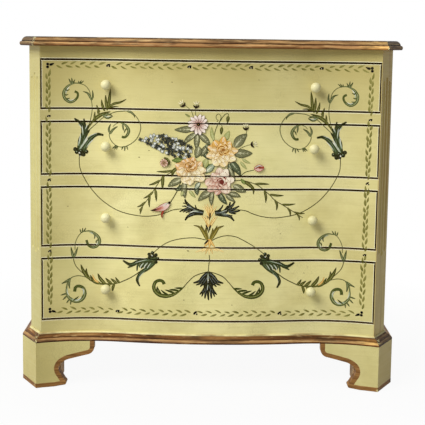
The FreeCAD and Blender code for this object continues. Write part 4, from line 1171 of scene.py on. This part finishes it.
def paintSpike():
    line = smoothLine(spike["line"])
    length = len(line) * lineSpacing
    bells = []
    for index in range(int(length / spike["pitch"]) + 1):
        share = min((index + 0.3) * spike["pitch"] / length, 0.999)
        x, z = line[int(share * (len(line) - 1))]
        half = profileAt(spike["half"], share)
        rows = max(1, int(2 * half / (spike["pitch"] * spike["rowPitch"])))
        for row in range(rows):
            off = (row + 0.5) / rows * 2 * half - half
            moveX, moveZ = (random.uniform(-most, most) for most in spike["place"])
            bells.append((x + off * spike["lean"] + moveX, z + off + moveZ, share - off / 90))
    random.shuffle(bells)
    for x, z, share in bells:
        dark = random.random() < spike["dark"][share >= spike["thickens"]]
        rim = paints["black"] if dark else paints["slate"]
        body = paints[random.choice(spike["darkPaints"]) if dark else "white"]
        heading = random.uniform(0, 360)
        reach = random.uniform(*spike["reach"])
        turn = 360 / spike["petals"]
        for k in range(spike["petals"]):
            stroke(bentLine(x, z, heading + turn * k, reach, 0, 3), (1.2, 2.4, 1.0), rim)
        for k in range(spike["petals"]):
            stroke(bentLine(x, z, heading + turn * k, reach - 1.0, 0, 3), (0.7, 1.4, 0.6), body,
                   mixed(body, paints["nightLight"], 0.3 if k else 0.7))
        if not dark and random.random() < 0.5:
            dab(x, z, 1.8, paints["night"])


def paintDaisy():
    for k in range(daisy["count"]):
        heading = 360 / daisy["count"] * k + random.uniform(-5, 5)
        petal(*pointAt(daisy["x"], daisy["z"], heading, daisy["start"]), heading,
              daisy["length"] * random.uniform(0.88, 1.05), daisy["width"], daisy["tones"], random.uniform(-14, 14))
    for k in range(daisy["heartDabs"]):
        away = math.radians(51 * k)
        dab(daisy["x"] + 2.6 * math.cos(away), daisy["z"] + 2.2 * math.sin(away), 4.0, paints["soot"])
    dab(daisy["x"] - 0.6, daisy["z"] + 0.5, 2.0, paints["goldDark"])


def paintHangingBud():
    brush("rust", 5.0, hangingBud["drop"])
    line = smoothLine(hangingBud["line"])
    stroke(line, scaled((0.2, 0.86, 1.0, 0.72, 0.36, 0.12), 9), paints["rust"])
    stroke(line, scaled((0.2, 0.86, 1.0, 0.7, 0.3, 0.1), 7.8), tone(246, 222, 208), tone(160, 62, 38))
    for off, end in hangingBud["veins"]:
        vein = [(x, z + off * (1 - k / len(line))) for k, (x, z) in enumerate(line)]
        stroke(vein[len(vein) // 3:int(len(vein) * end)], (0.3, 0.9, 0.5), tone(214, 130, 110), paints["rust"])
    brushAll(hangingBud["over"])
    dab(*hangingBud["root"], 7.0, paints["soot"])


# A red bud on the right and a small rosette in a curled leaf on the left.
def paintSideBuds():
    x, z = sideBuds["red"]
    outer = sideBuds["redLength"]
    for size, colour in ((outer, tone(150, 52, 44)), (outer - 3, tone(238, 196, 182))):
        line = [(x - size / 2 + size * k / 8, z + 0.12 * (size * k / 8 - size / 2)) for k in range(9)]
        widths = [size * 0.36 * math.sin(math.pi * min(max(k / 8, 0.04), 0.96)) ** 0.6 for k in range(9)]
        stroke(line, widths, colour, mixed(colour, paints["red"], 0.3))
    brushAll(sideBuds["redOver"])
    for turn in range(0, 360, 45):
        petal(*pointAt(*sideBuds["rosette"], turn, 2), turn, 8.0, 6.4, sideBuds["rosetteTones"], 20)
    brushAll(sideBuds["curl"])


def paintBouquet():
    paintMotif(bouquetSprays)
    for values in bouquetLeaves:
        veinedLeaf(*values, random.uniform(-0.07, 0.07))
    for values in littleBuds:
        littleBud(*values)
    paintSpike()
    brushAll((("soot", (5.0, -42, 642, 12, -8, 10, 6)),))
    paintDaisy()
    for values in roses:
        fullFlower(values)
    paintHangingBud()
    paintSideBuds()


paintBouquet()

# Lines along the edges of the rails and of the drawer fronts, from the edge inward: width and paint. The pale
# ones are painted highlights on the rounded edges, and worn paint. None lies along the base moulding or under the
# top.
lines = {
    "rail": ((1.0, "line"), (1.5, "edge")), "front": ((1.9, "line"), (1.1, "edge")),
    "lowest": 140, "highest": 835, "steps": 110, "lift": 0.12,
}


# Each drawer front has a dark line at its edge, with pale lines on both sides of the gap that are
# painted highlights of the rounded edges and worn paint.
def paintLines():
    for body, low, high, half in panels:
        onRail = body == "case"
        xs = [-half + 2 * half * k / lines["steps"] for k in range(lines["steps"] + 1)]
        inset = 0.0
        for width, paint in lines["rail" if onRail else "front"]:
            off = inset + width / 2
            inset += width
            runs = [[(x, z) for x in xs] for z in (low + off, high - off) if lines["lowest"] < z < lines["highest"]]
            if not onRail:
                runs += [[(x, low), (x, (low + high) / 2), (x, high)] for x in (-half + off, half - off)]
            for run in runs:
                stroke(run, (width / 2, width / 2), paints[paint], lift=lines["lift"])


paintLines()

# Small knocks down to the dark ground: x, z and size.
knocks = {
    "places": ((-94, 757, 3.0), (116, 765, 2.4), (-173, 573, 3.6), (-348, 449, 3.0), (-200, 399, 2.6),
               (-51, 344, 4.6), (-60, 220, 3.0), (59, 209, 2.6), (237, 288, 2.6), (-149, 590, 3.0),
               (302, 740, 2.0), (176, 388, 2.2)),
    "tones": (tone(120, 104, 62), tone(92, 76, 42)), "lift": 0.14,
}
for x, z, size in knocks["places"]:
    stroke([(x - size * 0.7, z + 0.3), (x, z), (x + size * 0.6, z - 0.2)], (0.3, size * 0.32, 0.3),
           *knocks["tones"], knocks["lift"])


# Hand painting: the colour laid on each stroke, thinned in places by the brush.
def makeHandPaint():
    material, tree, shader = startMaterial("handPaint", 0.6, specular=0.02)
    laid = addNode(tree, "ShaderNodeAttribute", attribute_name="paint")
    thin = noise(tree, "thin")
    plug(tree, mixColour(tree, thin, laid.outputs["Color"], creamPaint["base"]), shader.inputs["Base Color"])
    bump(tree, shader, thin, 0.0001, 0.4)
    return material


handPaint = makeHandPaint()
for body, (places, faces, colours) in painted.items():
    name = "painting_" + body
    data = bpy.data.meshes.new(name)
    data.from_pydata(places, [], faces)
    channel = data.color_attributes.new("paint", "FLOAT_COLOR", "POINT")
    channel.data.foreach_set("color", [part for colour in colours for part in (*colour, 1.0)])
    piece = placePiece(name, data, handPaint)
    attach(piece, body)
    print(name, len(faces), "cells")

# The gilt bands that follow the sawn outlines of the foot brackets, in millimetres: out
# is how far the feet stand outside the case, and reach, waist, toe and flat are
# distances from the corner of the foot.
brackets = {
    "out": 21.0, "reach": 141.0, "waist": 53.0, "toe": 70.0, "height": 113.5, "flat": 42.0, "lift": 3.0,
    "band": 10.8, "proud": 0.15, "cornerX": 422.35, "cornerY": -26.42, "cantY": 57.66,
}


# Points of an arc from start to end; the centre is on the given side of the chord.
def arcPoints(start, end, radius, left, steps=9):
    chordX, chordY = end[0] - start[0], end[1] - start[1]
    length = math.hypot(chordX, chordY)
    height = math.sqrt(radius ** 2 - (length / 2) ** 2) * (1 if left else -1)
    x = (start[0] + end[0]) / 2 - chordY / length * height
    y = (start[1] + end[1]) / 2 + chordX / length * height
    first = math.atan2(start[1] - y, start[0] - x)
    last = math.atan2(end[1] - y, end[0] - x)
    while left and last < first:
        last += 2 * math.pi
    while not left and last > first:
        last -= 2 * math.pi
    return [(x + radius * math.cos(first + (last - first) * k / steps),
             y + radius * math.sin(first + (last - first) * k / steps)) for k in range(steps)]


# The bracket's sawn outline from under the moulding to the floor, as distance from
# the foot's corner and height, each point with the radius of the arc that leaves it.
def bracketOutline():
    reach, waist, toe, top = (brackets[key] for key in ("reach", "waist", "toe", "height"))
    corners = [((reach - 0.5, top), None), ((reach - 0.5, top - 18), (20, False)), ((reach - 17, top - 34.5), None),
               ((waist + 30, top - 44), (50, True)), ((waist + 7, top - 54), (19, True)),
               ((waist, top - 68.5), (24, True)), ((waist + 5.5, top - 82.5), None),
               ((toe - 1.5, brackets["lift"] + 10.5), (5.5, False)), ((toe - 3, brackets["lift"]), None),
               ((brackets["flat"], 0), None), ((0, 0), None)]
    line = []
    for (start, edge), (end, after) in zip(corners, corners[1:]):
        if edge:
            line += arcPoints(start, end, *edge)
        else:
            steps = max(1, int(math.dist(start, end) / 6))
            line += [tuple(a + (b - a) * k / steps for a, b in zip(start, end)) for k in range(steps)]
    return line + [corners[-1][0]]


# The band follows the outline, drawn in by its width.
def bracketBand(place, mesh):
    line = bracketOutline()
    inner = []
    for index, (s, z) in enumerate(line):
        s0, z0 = line[max(index - 1, 0)]
        s1, z1 = line[min(index + 1, len(line) - 1)]
        length = math.hypot(s1 - s0, z1 - z0)
        inS, inZ = (z1 - z0) / length, -(s1 - s0) / length
        inner.append((max(s + inS * brackets["band"], 0.0), min(z + inZ * brackets["band"], brackets["height"])))
    rows = [(mesh.verts.new(place(*a)), mesh.verts.new(place(*b))) for a, b in zip(line, inner)]
    for first, second in zip(rows, rows[1:]):
        mesh.faces.new((first[0], second[0], second[1], first[1]))


def faceBand(side):
    def place(s, z):
        x = brackets["cornerX"] - s
        return metres(side * x, frontY(x, brackets["out"]) - brackets["proud"], z)
    return place


def flankBand(side, front):
    x = case["half"] + brackets["out"] + brackets["proud"]

    def place(s, z):
        return metres(side * x, brackets["cantY"] + s if front else case["depth"] - s, z)
    return place


def cantBand(side, mesh):
    outer = case["half"] + brackets["out"]
    start = Vector((brackets["cornerX"], brackets["cornerY"]))
    end = Vector((outer, brackets["cantY"]))
    along = (end - start).normalized()
    out = Vector((along.y, -along.x)) * brackets["proud"]
    corners = []
    for point in (start + out, end + out):
        corners.append([mesh.verts.new(metres(side * point.x, point.y, z)) for z in (0.0, brackets["band"])])
    mesh.faces.new((corners[0][0], corners[1][0], corners[1][1], corners[0][1]))


def makeFootBands():
    for side, word in ((-1, "left"), (1, "right")):
        mesh = bmesh.new()
        bracketBand(faceBand(side), mesh)
        bracketBand(flankBand(side, True), mesh)
        bracketBand(flankBand(side, False), mesh)
        cantBand(side, mesh)
        piece = addPiece("foot_gilding_" + word, mesh, bracketGilding, "case", smooth=False)


makeFootBands()
print("painting done")

studio = {
    "floor": tone(196, 194, 190), "floorHalf": 9.0, "floorGlow": (0.94, 1.0), "glowReach": (0.45, 1.3),
    "keyPlace": (-2.58, -2.77, 3.77), "keySize": 2.8, "keyPower": 258.0,
    "aim": (0.0, -0.1, 0.42), "world": 0.3,
}


def addKey():
    data = bpy.data.lights.new("key", "AREA")
    data.size = studio["keySize"]
    data.energy = studio["keyPower"]
    lamp = bpy.data.objects.new("key", data)
    lamp.location = studio["keyPlace"]
    toward = Vector(studio["aim"]) - Vector(studio["keyPlace"])
    lamp.rotation_euler = toward.to_track_quat("-Z", "Y").to_euler()
    bpy.context.scene.collection.objects.link(lamp)


# 1 for a ray from the camera, or one mirrored or let through to it.
def seenDirectly(tree):
    rays = addNode(tree, "ShaderNodeLightPath").outputs
    seen = rays["Is Camera Ray"]
    for name in ("Is Glossy Ray", "Is Transmission Ray"):
        seen = calculate(tree, "MAXIMUM", seen, rays[name])
    return seen


# The floor looks near white, fading into the backdrop, and keeps a faint shadow.
def makeFloor():
    mesh = bpy.data.meshes.new("floor")
    half = studio["floorHalf"]
    mesh.from_pydata([(-half, -half, 0), (half, -half, 0), (half, half, 0), (-half, half, 0)], [], [(0, 1, 2, 3)])
    floor = bpy.data.objects.new("floor", mesh)
    material, tree, shader = startMaterial("floorSheet", 0.9)
    plug(tree, studio["floor"], shader.inputs["Base Color"])
    glow = addNode(tree, "ShaderNodeEmission", {"Color": (1.0, 1.0, 1.0), "Strength": 1.0})
    away = addNode(tree, "ShaderNodeVectorMath", {"Vector": ownPlace(tree)}, operation="LENGTH").outputs["Value"]
    share = spread(tree, away, *studio["glowReach"], *studio["floorGlow"])
    blend = addNode(tree, "ShaderNodeMixShader", {"Fac": times(tree, share, seenDirectly(tree)),
                                                  1: shader.outputs["BSDF"], 2: glow.outputs["Emission"]})
    plug(tree, blend.outputs["Shader"], tree.nodes["Material Output"].inputs["Surface"])
    mesh.materials.append(material)
    bpy.context.scene.collection.objects.link(floor)


def makeWorld():
    world = bpy.data.worlds.new("studio")
    bpy.context.scene.world = world
    world.use_nodes = True
    tree = world.node_tree
    back = tree.nodes["Background"].inputs
    plug(tree, (1.0, 1.0, 1.0), back["Color"])
    plug(tree, spread(tree, seenDirectly(tree), 0.0, 1.0, studio["world"], 1.0), back["Strength"])


makeFloor()
makeWorld()
addKey()

view = {
    "place": (-0.0077, -2.9329, 0.864), "turn": (82.6328, -0.7649, -0.2003), "lens": 95.256, "sensor": 36.0,
    "shift": (0.00041, -0.06843),
}
cameraData = bpy.data.cameras.new("view")
cameraData.sensor_width = view["sensor"]
cameraData.lens = view["lens"]
cameraData.shift_x, cameraData.shift_y = view["shift"]
camera = bpy.data.objects.new("view", cameraData)
camera.location = view["place"]
camera.rotation_euler = [math.radians(angle) for angle in view["turn"]]
bpy.context.scene.collection.objects.link(camera)
bpy.context.scene.camera = camera
bpy.context.scene.view_settings.view_transform = "Standard"
print("studio ready")
